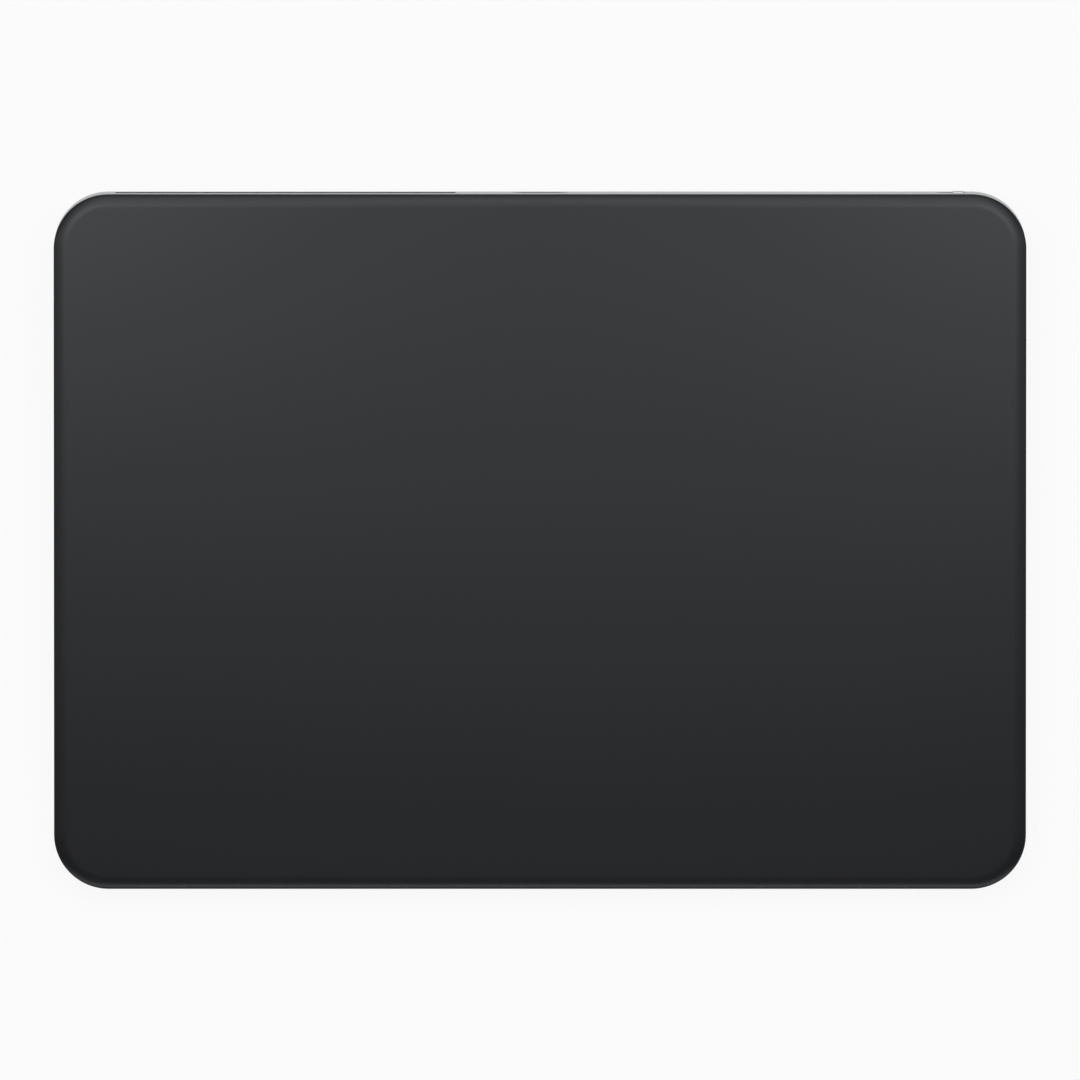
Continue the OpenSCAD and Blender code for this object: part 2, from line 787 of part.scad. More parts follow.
// Sockets of the sensor flex and the battery flex
module board_sockets() {
  color(DARK) for (s = [[sensor_x, sensor_w], [power_x, power_w]])
    translate([s[0] - s[1] / 2 - over, y_socket - socket_d / 2, z_top])
    cube([s[1] + 2 * over, socket_d, socket_h]);
}

// Sheet metal cap over the radio chip
module shield_can() {
  color(STEEL) translate([shield_x - shield_w / 2, y_main - shield_d / 2, z_top]) difference() {
    cube([shield_w, shield_d, shield_h]);
    translate([shield_t, shield_t, -over])
      cube([shield_w - 2 * shield_t, shield_d - 2 * shield_t, shield_h - shield_t + over]);
  }
}

// Steel shell of the port, just inside the wall, with a slanted mouth
module port_shell() {
  color(STEEL) difference() {
    along_y(0, y_stern, y_mouth, port_z) difference() {
      stadium(shell_w, shell_h);
      stadium(port_w, port_h);
    }
    translate([0, y_mouth, port_z]) rotate([-90, 0, 0]) lip(port_w, port_h, shell_t / 2);
  }
}

// Insulator that closes the shell, with the tongue in the middle of the opening
module port_tongue() {
  color(DARK) {
    along_y(0, y_stern, y_stern + plug_l, port_z) stadium(port_w - 2 * fit_gap, port_h - 2 * fit_gap);
    translate([-tongue_w / 2, y_stern + plug_l / 2, port_z - tongue_t / 2])
      cube([tongue_w, shell_l - plug_l / 2 - tongue_inset, tongue_t]);
  }
}

// Contacts on both faces of the tongue
module port_contacts() {
  y = y_mouth - tongue_inset - contact_inset - contact_l / 2;
  z = (tongue_t + contact_t) / 2;
  color(GOLD) for (s = [-1, 1], i = [0:contact_n - 1])
    translate([(i - (contact_n - 1) / 2) * contact_pitch, y, port_z + s * z])
    cube([contact_w, contact_l, contact_t], center = true);
}

// Strap over the port shell, screwed to the bosses through the main board
module port_clamp() {
  color(STEEL) difference() {
    translate([0, y_clamp - clamp_d / 2, 0]) union() {
      translate([-clamp_u, 0, z_top + shell_h + fit_gap]) cube([2 * clamp_u, clamp_d, clamp_t]);
      for (s = [0, 1]) mirror([s, 0, 0]) translate([clamp_u - clamp_t, 0, z_top]) {
        cube([clamp_t, clamp_d, shell_h + fit_gap + clamp_t]);
        cube([clamp_t + clamp_ear, clamp_d, clamp_t]);
      }
    }
    at_clamp_screws(z_top) bored();
  }
}

// Switch on the main board, with the groove its stem runs in
module switch_can() {
  groove = stem_w + switch_travel + 2 * end_gap;
  color(STEEL) difference() {
    translate([switch_x - can_l / 2, y_can1 - can_d, z_top]) cube([can_l, can_d, shell_h]);
    translate([switch_x - groove / 2, y_slider0 - stem_l - slide_gap, port_z - stem_h / 2 - slide_gap])
      cube([groove, stem_l + slide_gap + over, stem_h + 2 * slide_gap]);
  }
}

module flag_body() {
  translate([slider_x0, y_slider1 - flag_t, port_z - slot_h / 2])
    cube([knob_x - knob_l / 2 - slider_x0, flag_t, slot_h]);
}

// Slider of the power switch: plate behind the wall, knob through the slot, stem into the switch
module power_slider() {
  color(ALUMINIUM) difference() {
    union() {
      translate([slider_x0, y_slider0, port_z - slider_h / 2])
        cube([slider_x1 - slider_x0, slider_t, slider_h]);
      along_y(knob_x, y_slider0 + slider_t / 2, y_rear + knob_proud, port_z)
        rounded(knob_l, knob_h, knob_r);
      translate([knob_x - stem_w / 2, y_slider0 - stem_l, port_z - stem_h / 2])
        cube([stem_w, stem_l + slider_t / 2, stem_h]);
    }
    translate([knob_x, y_rear + knob_proud, port_z]) rotate([-90, 0, 0])
      band(knob_l, knob_h, knob_r) knob_cut(knob_r, lip_c);
    flag_body();
  }
}

// Green field on the slider that shows in the slot when the power is on
module power_flag() {
  color(GREEN) flag_body();
}

enclosure();
antenna_window();
antenna_strip();
rim_gasket();
touch_glass();
bonding_film();
sensor_board();
touch_chips();
sensor_socket();
plate_stiffener();
haptic_attractor();
haptic_tray();
haptic_core();
haptic_coils();
haptic_screws();
battery_tape();
battery_cell();
battery_guard();
battery_flex();
main_board();
board_chips();
board_sockets();
shield_can();
board_screws();
port_shell();
port_tongue();
port_contacts();
port_clamp();
clamp_screws();
switch_can();
power_slider();
power_flag();
sensor_flex();
haptic_flex();
leaf_screws();
for (s = SIDES) gauge_flex(s[1]);
for (c = CORNERS) foot(c);
for (c = CORNERS) spring_leaf(c);
for (c = CORNERS) strain_gauge(c);
for (c = CORNERS) force_puck(c);
for (c = CORNERS) gel_pad(c);
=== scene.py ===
"""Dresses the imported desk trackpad: glass plate, aluminium tub, feet, port, switch and what lies inside."""

import json
import math

import bmesh
import bpy
import numpy as np
from bpy.props import FloatProperty, FloatVectorProperty, IntProperty, PointerProperty
from bpy.types import Operator, Panel, PropertyGroup
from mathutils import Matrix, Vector


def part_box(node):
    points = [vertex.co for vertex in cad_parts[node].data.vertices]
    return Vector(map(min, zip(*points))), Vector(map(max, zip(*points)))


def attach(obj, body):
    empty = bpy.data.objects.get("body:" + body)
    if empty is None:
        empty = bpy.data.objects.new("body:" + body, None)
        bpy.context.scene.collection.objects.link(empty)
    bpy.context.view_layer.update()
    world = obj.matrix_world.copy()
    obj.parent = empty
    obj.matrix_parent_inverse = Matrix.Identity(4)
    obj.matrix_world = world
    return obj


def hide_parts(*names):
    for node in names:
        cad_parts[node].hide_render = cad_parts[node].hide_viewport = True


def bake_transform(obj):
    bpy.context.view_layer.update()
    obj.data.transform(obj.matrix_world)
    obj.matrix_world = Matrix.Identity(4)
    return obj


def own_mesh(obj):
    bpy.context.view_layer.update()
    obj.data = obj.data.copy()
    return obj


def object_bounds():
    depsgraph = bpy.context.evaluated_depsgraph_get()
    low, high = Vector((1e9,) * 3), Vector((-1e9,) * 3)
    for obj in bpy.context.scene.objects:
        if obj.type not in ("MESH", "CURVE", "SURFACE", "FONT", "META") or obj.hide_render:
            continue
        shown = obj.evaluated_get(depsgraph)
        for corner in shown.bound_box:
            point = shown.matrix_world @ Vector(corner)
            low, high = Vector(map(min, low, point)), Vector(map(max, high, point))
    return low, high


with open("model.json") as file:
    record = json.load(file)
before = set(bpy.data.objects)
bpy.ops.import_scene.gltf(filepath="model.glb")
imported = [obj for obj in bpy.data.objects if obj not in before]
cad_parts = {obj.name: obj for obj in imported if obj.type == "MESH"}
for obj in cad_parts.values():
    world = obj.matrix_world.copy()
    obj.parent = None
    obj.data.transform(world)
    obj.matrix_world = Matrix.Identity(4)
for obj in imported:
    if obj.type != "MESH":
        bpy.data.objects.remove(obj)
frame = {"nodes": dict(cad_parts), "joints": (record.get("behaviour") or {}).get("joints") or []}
CAD_BOX = [list(corner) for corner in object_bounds()]

bl_info = {
    "name": "Desk trackpad",
    "version": (1, 0, 0),
    "blender": (4, 5, 0),
    "location": "3D View > Sidebar > Trackpad",
    "description": "Builds the visible pieces and finishes of a desk trackpad round its packed model",
    "category": "Object",
}

MM = 0.001
MERGE = 0.001 * MM
SHARP = math.radians(35)
QUARTER = math.pi / 2
WHITE = (1.0, 1.0, 1.0, 1.0)
LEFT, RIGHT = (-1.0, 0.0, 0.0), (1.0, 0.0, 0.0)
CORNERS = ("front_left", "front_right", "rear_left", "rear_right")
PRESS = next(joint for joint in frame["joints"] if joint["name"] == "touch_press")
TRAVEL = PRESS["range_m"][1]


def plate_axes():
    """Directions of the sloping plate as rows: to the right, up the slope, and square to the glass."""
    across = np.array(RIGHT)
    square = -np.array(PRESS["axis"], float)
    square /= np.linalg.norm(square)
    return np.array((across, np.cross(square, across), square))


AXES = plate_axes()


def node_points(node):
    """Every vertex of a CAD node, in the row frame."""
    mesh = frame["nodes"][node].data
    points = np.zeros(len(mesh.vertices) * 3)
    mesh.vertices.foreach_get("co", points)
    return points.reshape(-1, 3)


def plate_points(node):
    """Every vertex of a CAD node, measured along the plate's own directions."""
    return node_points(node) @ AXES.T


def span(points):
    """Lowest corner, highest corner and middle of points."""
    low, high = points.min(0), points.max(0)
    return low, high, (low + high) / 2


GLASS = plate_points("touch_glass")
GLASS_LOW, GLASS_HIGH, GLASS_MIDDLE = span(GLASS)
FLAT = GLASS[GLASS[:, 2] > GLASS_HIGH[2] - MERGE]
RIM = GLASS[GLASS[:, 0] > GLASS_HIGH[0] - MERGE]
ROLL_WIDTH = float(GLASS_HIGH[0] - FLAT[:, 0].max())
ROLL_DROP = float(GLASS_HIGH[2] - RIM[:, 2].max())
CORNER_RADIUS = float(GLASS_HIGH[1] - RIM[:, 1].max())
LENGTH = {"unit": "LENGTH", "precision": 6}


class TrackpadSizes(PropertyGroup):
    """Sizes of the new pieces that a user would change."""

    roll_width: FloatProperty(
        name="Roll width", description="Width of the rolled edge of the glass",
        default=ROLL_WIDTH, **LENGTH,
    )
    roll_drop: FloatProperty(
        name="Roll drop", description="Fall of the rolled edge at the outline",
        default=ROLL_DROP, **LENGTH,
    )
    corner_radius: FloatProperty(
        name="Corner radius", description="Corner radius of the glass in plan",
        default=CORNER_RADIUS, **LENGTH,
    )
    edge_radius: FloatProperty(
        name="Edge radius", description="Small radius between the rolled edge and the side of the glass",
        default=0.25 * MM, **LENGTH,
    )
    corner_steps: IntProperty(
        name="Corner steps", description="Stations round each corner of the glass", default=40, min=8
    )
    sole_radius: FloatProperty(
        name="Sole radius", description="Radius round the sole of each foot", default=0.22 * MM, **LENGTH
    )
    foot_steps: IntProperty(
        name="Foot steps", description="Stations round each foot and gel disc", default=96, min=24
    )
    leaf_steps: IntProperty(
        name="Leaf steps", description="Cuts across the neck of each leaf, where it bends",
        default=10, min=4,
    )
    coil_turns: IntProperty(
        name="Coil turns", description="Turns of wire along each winding", default=20, min=4
    )


class TrackpadColours(PropertyGroup):
    """Colours of the finishes that show from outside, as linear light."""

    glass: FloatVectorProperty(
        name="Glass", description="Black print behind the matte glass",
        default=(0.0115, 0.0118, 0.0128), subtype="COLOR",
    )
    aluminium: FloatVectorProperty(
        name="Aluminium", description="Silver anodised tub", default=(0.42, 0.422, 0.426), subtype="COLOR"
    )
    window: FloatVectorProperty(
        name="Window", description="Moulded antenna window",
        default=(0.022, 0.0225, 0.024), subtype="COLOR",
    )
    rubber: FloatVectorProperty(
        name="Rubber", description="Grey silicone feet", default=(0.42, 0.42, 0.425), subtype="COLOR"
    )
    flag: FloatVectorProperty(
        name="Flag", description="Green print that shows when the switch is on",
        default=(0.03, 0.42, 0.07), subtype="COLOR",
    )


class TrackpadStage(PropertyGroup):
    """Camera and light of the stage."""

    lens: FloatProperty(
        name="Lens", description="Focal length of the camera in millimetres",
        default=1400.0, unit="CAMERA",
    )
    view_width: FloatProperty(
        name="View width", description="Width of the frame at the pad", default=177.76 * MM, **LENGTH
    )
    camera_lean: FloatProperty(
        name="Camera lean", description="How far the camera stands towards the rear",
        default=57.0 * MM, **LENGTH,
    )
    aim_shift: FloatProperty(
        name="Aim shift", description="How far the camera aims behind the middle of the pad",
        default=0.05 * MM, **LENGTH,
    )
    box_height: FloatProperty(
        name="Softbox height", description="Height of the softbox over the desk", default=0.35, **LENGTH
    )
    box_light: FloatProperty(
        name="Softbox light", description="Brightness of the softbox, where 1 is white", default=3.3
    )
    strip_light: FloatProperty(
        name="Strip light", description="Brightness of the front strip, where 1 is white", default=2.7
    )
    fill_light: FloatProperty(
        name="Fill light", description="Brightness of the broad fill, where 1 is white", default=0.9
    )


GROUPS = {
    "trackpad_sizes": TrackpadSizes,
    "trackpad_colours": TrackpadColours,
    "trackpad_stage": TrackpadStage,
}


class Value:
    """A number that varies over a surface; arithmetic on it adds the Math nodes that work it out."""

    def __init__(self, nodes, socket):
        self.nodes = nodes
        self.socket = socket

    def math(self, operation, first, second):
        """What a Math node makes of two numbers."""
        return self.nodes.node("ShaderNodeMath", {"operation": operation}, {0: first, 1: second})

    def __add__(self, other):
        return self.math("ADD", self, other)

    def __radd__(self, other):
        return self.math("ADD", other, self)

    def __sub__(self, other):
        return self.math("SUBTRACT", self, other)

    def __rsub__(self, other):
        return self.math("SUBTRACT", other, self)

    def __mul__(self, other):
        return self.math("MULTIPLY", self, other)

    def __rmul__(self, other):
        return self.math("MULTIPLY", other, self)

    def ramp(self, low, high):
        """0 below low, 1 above high, and a smooth rise between them."""
        return self.nodes.node(
            "ShaderNodeMapRange",
            {"interpolation_type": "SMOOTHSTEP"},
            {"Value": self, "From Min": low, "From Max": high},
        )


def set_stops(ramp, stops):
    """Gives a ramp grey stops at places from 0 to 1."""
    while len(ramp.elements) < len(stops):
        ramp.elements.new(1.0)
    for element, (place, grey) in zip(ramp.elements, stops):
        element.position = place
        element.color = (grey, grey, grey, 1.0)


# Sockets of the Mix node when it mixes colours: the factor, both colours and the result.
MIX_FACTOR, MIX_FIRST, MIX_SECOND, MIX_RESULT = 0, 6, 7, 2


class Nodes:
    """A node tree in the making."""

    def __init__(self, tree):
        self.tree = tree

    def node(self, kind, settings=None, sockets=None, output=0):
        """Adds a node, sets its settings, then its sockets by value or by link, and gives an output."""
        made = self.tree.nodes.new(kind)
        for label, value in (settings or {}).items():
            if label == "stops":
                set_stops(made.color_ramp, value)
            else:
                setattr(made, label, value)
        for label, value in (sockets or {}).items():
            self.put(made.inputs[label], value)
        return Value(self, made.outputs[output])

    def put(self, socket, value):
        """Links a varying value to a socket, or sets a plain one."""
        if isinstance(value, Value):
            self.tree.links.new(value.socket, socket)
        else:
            socket.default_value = value

    def mix(self, factor, first, second, blend="MIX"):
        """A colour between two colours, or another blend of them."""
        return self.node(
            "ShaderNodeMix",
            {"data_type": "RGBA", "blend_type": blend},
            {MIX_FACTOR: factor, MIX_FIRST: first, MIX_SECOND: second},
            MIX_RESULT,
        )


# The Wave node runs through 20 radians in a unit of its scale, so this makes about one stripe to a unit.
WAVE_SCALE = 0.314


class Finish(Nodes):
    """A node material in the making: fixed sockets are set at once, varying ones are fed later."""

    def __init__(self, name, **fixed):
        self.material = bpy.data.materials.new(name)
        self.material.use_nodes = True
        super().__init__(self.material.node_tree)
        self.shader = self.tree.nodes["Principled BSDF"]
        for label, value in fixed.items():
            self.shader.inputs[label.replace("_", " ")].default_value = value

    def feed(self, **varying):
        """Feeds values that vary over the surface to the shader."""
        for label, value in varying.items():
            self.put(self.shader.inputs[label.replace("_", " ")], value)

    def place(self, size, stretch=(1.0, 1.0, 1.0)):
        """Object coordinates counted in features of a size, longer along the axes that are stretched."""
        return self.node(
            "ShaderNodeMapping",
            {},
            {
                "Vector": self.node("ShaderNodeTexCoord", output="Object"),
                "Scale": tuple(1.0 / (size * s) for s in stretch),
            },
        )

    def noise(self, size, detail=2.0, stretch=(1.0, 1.0, 1.0)):
        """Soft random patches of about a size, from 0 to 1."""
        return self.node(
            "ShaderNodeTexNoise",
            {},
            {"Vector": self.place(size, stretch), "Scale": 1.0, "Detail": detail},
            "Fac",
        )

    def cells(self, size, feature="F1", distance="EUCLIDEAN"):
        """Distance to the nearest of scattered points a size apart."""
        return self.node(
            "ShaderNodeTexVoronoi",
            {"feature": feature, "distance": distance},
            {"Vector": self.place(size), "Scale": 1.0},
            "Distance",
        )

    def stripes(self, size, axis):
        """Even round stripes of a size, square to an axis, from 0 to 1."""
        return self.node(
            "ShaderNodeTexWave",
            {"wave_type": "BANDS", "bands_direction": axis},
            {"Vector": self.place(size), "Scale": WAVE_SCALE},
            "Fac",
        )

    def bump(self, height, depth, strength):
        """Feeds a height, of a real depth, to the shader's normal."""
        normal = self.node(
            "ShaderNodeBump",
            {},
            {"Strength": strength, "Distance": depth, "Height": height},
            "Normal",
        )
        self.feed(Normal=normal)

    def grain(self, pattern, tints, rough, depth, strength):
        """Feeds one pattern to all: colour between two tints, roughness from a least value up, and bump."""
        least, spread = rough
        self.feed(Base_Color=self.mix(pattern, *tints), Roughness=least + spread * pattern)
        self.bump(pattern, depth, strength)


FINISHES, MADE = {}, {}


def finish_of(slot, **fixed):
    """Marks the function that feeds the finish of a slot of the record, and gives its fixed sockets."""

    def keep(feed):
        FINISHES[slot] = feed, fixed
        return feed

    return keep


def finish_for(slot):
    """The material of a slot of the record, made when it is first asked for."""
    if slot not in MADE:
        feed, fixed = FINISHES[slot]
        finish = Finish(feed.__name__, **fixed)
        feed(finish)
        MADE[slot] = finish.material
    return MADE[slot]


def user_colour(label):
    """A colour that the user has set."""
    return getattr(bpy.context.scene.trackpad_colours, label)


def shades(colour, *factors):
    """A colour made lighter or darker by each factor, with its alpha."""
    return [tuple(min(1.0, channel * factor) for channel in colour) + (1.0,) for factor in factors]


@finish_of("touch_glass", IOR=1.5, Specular_IOR_Level=0.47, Specular_Tint=(0.93, 0.96, 1.0, 1.0))
def touch_glass_finish(finish):
    """Matte etched glass over black print: fine etch, a ground edge, and faint patches left by hands."""
    etch = finish.noise(0.06 * MM, 1.0)
    hands = finish.noise(38 * MM, 3.0)
    facing = finish.node("ShaderNodeTexCoord", output="Normal")
    level = finish.node(
        "ShaderNodeVectorMath", {"operation": "DOT_PRODUCT"}, {0: facing, 1: tuple(AXES[2])}, "Value"
    )
    ground = 1.0 - level.ramp(0.5, 0.88)
    finish.feed(
        Base_Color=finish.mix(hands, *shades(user_colour("glass"), 0.96, 1.04)),
        Roughness=0.24 + 0.02 * hands + 0.02 * etch + 0.5 * ground,
    )
    finish.bump(etch, 0.0008 * MM, 0.3)


@finish_of("aluminium", Metallic=1.0)
def aluminium_finish(finish):
    """Bead-blasted anodised aluminium: dimples a tenth of a millimetre wide and a soft mottle."""
    beads = finish.cells(0.11 * MM)
    mottle = finish.noise(6 * MM, 3.0)
    finish.feed(
        Base_Color=finish.mix(mottle, *shades(user_colour("aluminium"), 0.97, 1.03)),
        Roughness=0.4 + 0.08 * beads + 0.03 * mottle,
    )
    finish.bump(beads, 0.006 * MM, 0.35)


@finish_of("slider", Metallic=1.0)
def slider_finish(finish):
    """The knob's aluminium: blasted finer than the tub, its colour painted brighter than the tub's as a
    painted sheen for the light that the finer blast catches.
    """
    beads = finish.cells(0.08 * MM)
    # Painted sheen: the knob's colour is the tub's aluminium made 1.3 to 1.42 times brighter, for the light
    # that the finer blast catches.
    tints = shades(user_colour("aluminium"), 1.3, 1.42)
    finish.grain(beads, tints, rough=(0.3, 0.08), depth=0.003 * MM, strength=0.3)


@finish_of("window", IOR=1.5, Specular_IOR_Level=0.12)
def window_finish(finish):
    """Moulded plastic with a spark-eroded grain."""
    grain = finish.noise(0.12 * MM, 3.0)
    tints = shades(user_colour("window"), 0.9, 1.1)
    finish.grain(grain, tints, rough=(0.7, 0.12), depth=0.008 * MM, strength=0.4)


@finish_of("rubber", IOR=1.43)
def rubber_finish(finish):
    """Moulded silicone: matte skin, fine dust and a slight mottle."""
    skin = finish.noise(0.18 * MM, 3.0)
    dust = finish.noise(2.5 * MM, 4.0).ramp(0.45, 0.75)
    finish.feed(
        Base_Color=finish.mix(dust, *shades(user_colour("rubber"), 0.94, 1.06)),
        Roughness=0.62 + 0.1 * skin + 0.06 * dust,
    )
    finish.bump(skin, 0.01 * MM, 0.4)


@finish_of("green", IOR=1.5)
def flag_finish(finish):
    """Screen print: even colour with the faint mesh of the screen."""
    mesh = finish.cells(0.07 * MM)
    tints = shades(user_colour("flag"), 0.92, 1.08)
    finish.grain(mesh, tints, rough=(0.36, 0.08), depth=0.002 * MM, strength=0.3)


@finish_of("gasket", IOR=1.4)
def gasket_finish(finish):
    """Closed-cell foam: small round cells, painted darker towards the middle of each, where the bump sinks
    into a pit: painted shade in the pits.
    """
    pores = finish.cells(0.09 * MM)
    # Painted shade: the colour goes from the darker tint at each cell's middle, the bottom of its pit, to the
    # lighter one at its rim.
    tints = (0.006, 0.006, 0.006, 1.0), (0.014, 0.014, 0.014, 1.0)
    finish.grain(pores, tints, rough=(0.78, 0.12), depth=0.02 * MM, strength=0.6)


@finish_of("film", IOR=1.48)
def film_finish(finish):
    """Black adhesive film with a faint orange peel."""
    peel = finish.noise(0.8 * MM)
    tints = (0.009, 0.009, 0.01, 1.0), (0.014, 0.014, 0.015, 1.0)
    finish.grain(peel, tints, rough=(0.35, 0.12), depth=0.01 * MM, strength=0.3)


@finish_of("board", IOR=1.55, Coat_Roughness=0.2)
def board_finish(finish):
    """Circuit board: dark mask over square-set copper runs, with the weave of the glass cloth under it."""
    runs = finish.cells(2.6 * MM, "DISTANCE_TO_EDGE", "MANHATTAN").ramp(0.05, 0.09)
    weave = 0.5 * finish.stripes(0.4 * MM, "X") + 0.5 * finish.stripes(0.4 * MM, "Y")
    mask = finish.mix(weave, (0.004, 0.03, 0.02, 1.0), (0.006, 0.04, 0.026, 1.0))
    finish.feed(
        Base_Color=finish.mix(runs, (0.012, 0.07, 0.04, 1.0), mask),
        Roughness=0.28 + 0.12 * weave,
        Coat_Weight=0.2 + 0.2 * runs,
    )
    finish.bump(1.0 - runs, 0.02 * MM, 0.6)


@finish_of("chip", IOR=1.55)
def chip_finish(finish):
    """Moulded chip package: black resin with a fine sparkle of filler."""
    filler = finish.noise(0.05 * MM)
    tints = (0.008, 0.008, 0.009, 1.0), (0.02, 0.02, 0.021, 1.0)
    finish.grain(filler, tints, rough=(0.5, 0.16), depth=0.006 * MM, strength=0.5)


ROLLED_LONG = (30.0, 1.0, 1.0)


def rolled_sheet(finish, colour, roughness, grain, depth):
    """Rolled metal sheet: long thin rolling lines, with roughness and bump along them."""
    lines = finish.noise(grain, 3.0, ROLLED_LONG)
    cloud = finish.noise(9 * MM)
    finish.feed(
        Base_Color=finish.mix(cloud, *shades(colour, 0.93, 1.05)),
        Roughness=roughness + 0.14 * lines + 0.04 * cloud,
    )
    finish.bump(lines, depth, 0.4)


@finish_of("steel", Metallic=1.0)
def steel_finish(finish):
    """Stamped sheet steel."""
    rolled_sheet(finish, (0.43, 0.44, 0.45), 0.24, 0.05 * MM, 0.003 * MM)


@finish_of("spring_steel", Metallic=1.0)
def spring_steel_finish(finish):
    """Hardened spring sheet, a little darker and smoother than the stampings."""
    rolled_sheet(finish, (0.33, 0.325, 0.33), 0.18, 0.04 * MM, 0.002 * MM)


@finish_of("port_steel", Metallic=1.0)
def port_steel_finish(finish):
    """Drawn stainless shell."""
    rolled_sheet(finish, (0.4, 0.41, 0.43), 0.22, 0.04 * MM, 0.002 * MM)


@finish_of("screw", Metallic=1.0)
def screw_finish(finish):
    """Turned steel under dark nickel, with the fine grain that the tool has left."""
    tool = finish.noise(0.05 * MM)
    tints = (0.2, 0.2, 0.21, 1.0), (0.3, 0.3, 0.31, 1.0)
    finish.grain(tool, tints, rough=(0.26, 0.16), depth=0.004 * MM, strength=0.4)


@finish_of("iron", Metallic=0.85)
def iron_finish(finish):
    """Soft iron under a grey phosphate coat: small crystals and cloudy patches."""
    crystals = finish.cells(0.1 * MM)
    cloud = finish.noise(4 * MM, 3.0)
    finish.feed(
        Base_Color=finish.mix(cloud, (0.13, 0.13, 0.14, 1.0), (0.2, 0.2, 0.21, 1.0)),
        Roughness=0.42 + 0.16 * crystals,
    )
    finish.bump(crystals, 0.008 * MM, 0.5)


@finish_of("copper", Metallic=1.0, Coat_Roughness=0.15)
def copper_finish(finish):
    """Enamelled wire: a clear, slightly cloudy enamel over copper."""
    cloud = finish.noise(0.7 * MM)
    finish.feed(Coat_Weight=0.5 + 0.3 * cloud)
    tints = (0.42, 0.15, 0.055, 1.0), (0.56, 0.22, 0.085, 1.0)
    finish.grain(cloud, tints, rough=(0.24, 0.12), depth=0.004 * MM, strength=0.3)


@finish_of("gold", Metallic=1.0)
def gold_finish(finish):
    """Gold plating with a fine satin grain."""
    satin = finish.noise(0.04 * MM)
    tints = (0.64, 0.4, 0.12, 1.0), (0.72, 0.47, 0.16, 1.0)
    finish.grain(satin, tints, rough=(0.22, 0.14), depth=0.002 * MM, strength=0.3)


@finish_of("flex", IOR=1.6)
def flex_finish(finish):
    """Amber flexible print: copper runs under a clear cover film."""
    runs = finish.stripes(0.5 * MM, "X").ramp(0.35, 0.65)
    cloud = finish.noise(3 * MM)
    cover = finish.mix(cloud, (0.3, 0.12, 0.02, 1.0), (0.38, 0.16, 0.03, 1.0))
    finish.feed(
        Base_Color=finish.mix(runs, cover, (0.46, 0.2, 0.05, 1.0)),
        Roughness=0.3 + 0.1 * cloud,
    )
    finish.bump(runs, 0.01 * MM, 0.5)


@finish_of("pouch", Metallic=0.9)
def pouch_finish(finish):
    """Foil pouch: satin aluminium laminate with fine crinkles."""
    crinkle = finish.noise(2.2 * MM, 4.0)
    tints = (0.42, 0.43, 0.44, 1.0), (0.52, 0.53, 0.54, 1.0)
    finish.grain(crinkle, tints, rough=(0.32, 0.16), depth=0.04 * MM, strength=0.5)


@finish_of("port_plastic", IOR=1.52)
def port_plastic_finish(finish):
    """Black moulded insulator with a fine grain."""
    grain = finish.noise(0.07 * MM)
    tints = (0.007, 0.007, 0.008, 1.0), (0.013, 0.013, 0.014, 1.0)
    finish.grain(grain, tints, rough=(0.44, 0.14), depth=0.005 * MM, strength=0.4)


@finish_of("gel", IOR=1.41, Transmission_Weight=0.5)
def gel_finish(finish):
    """Clear silicone gel, slightly milky, with a soft skin."""
    skin = finish.noise(0.5 * MM)
    tints = (0.5, 0.56, 0.62, 1.0), (0.6, 0.65, 0.7, 1.0)
    finish.grain(skin, tints, rough=(0.25, 0.12), depth=0.01 * MM, strength=0.3)


def skin_faces(first, rows, columns, ends):
    """Faces of rings joined row by row, counted from a first point.

    Quads join each ring to the next. With ends the first and the last ring are closed by fans to the two
    points that follow the rings, and without them the last ring joins the first.
    """
    ring = np.arange(columns)
    beside = (ring + 1) % columns
    row = np.arange(rows - 1 if ends else rows)[:, None]
    here, there = row * columns, (row + 1) % rows * columns
    quads = np.stack((here + ring, there + ring, there + beside, here + beside), axis=-1)
    faces = (quads.reshape(-1, 4) + first).tolist()
    if ends:
        last = (rows - 1) * columns
        pole = np.full(columns, rows * columns)
        faces += (np.stack((pole, ring, beside), axis=-1) + first).tolist()
        faces += (np.stack((last + ring, pole + 1, last + beside), axis=-1) + first).tolist()
    return faces


def turn_out(mesh):
    """Turns every face of closed shells outwards."""
    shape = bmesh.new()
    shape.from_mesh(mesh)
    bmesh.ops.recalc_face_normals(shape, faces=shape.faces)
    shape.to_mesh(mesh)
    shape.free()


def add_piece(name, mesh, slot, *replaced):
    """A smooth piece from a mesh, with the finish of a slot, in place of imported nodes."""
    mesh.polygons.foreach_set("use_smooth", np.ones(len(mesh.polygons), bool))
    mesh.set_sharp_from_angle(angle=SHARP)
    mesh.materials.clear()
    mesh.materials.append(finish_for(slot))
    piece = bpy.data.objects.new(name, mesh)
    bpy.context.scene.collection.objects.link(piece)
    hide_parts(*replaced)
    return piece


def make_piece(name, shells, slot, *replaced):
    """A piece from closed shells: each is rings of points, with two end points or with none."""
    points, faces, count = [], [], 0
    for rings, ends in shells:
        rows, columns = rings.shape[:2]
        faces += skin_faces(count, rows, columns, len(ends) > 0)
        points.append(np.concatenate((rings.reshape(-1, 3), np.reshape(ends, (-1, 3)))))
        count += len(points[-1])
    mesh = bpy.data.meshes.new(name)
    mesh.from_pydata(np.concatenate(points).tolist(), [], faces)
    mesh.validate()
    turn_out(mesh)
    return add_piece(name, mesh, slot, *replaced)


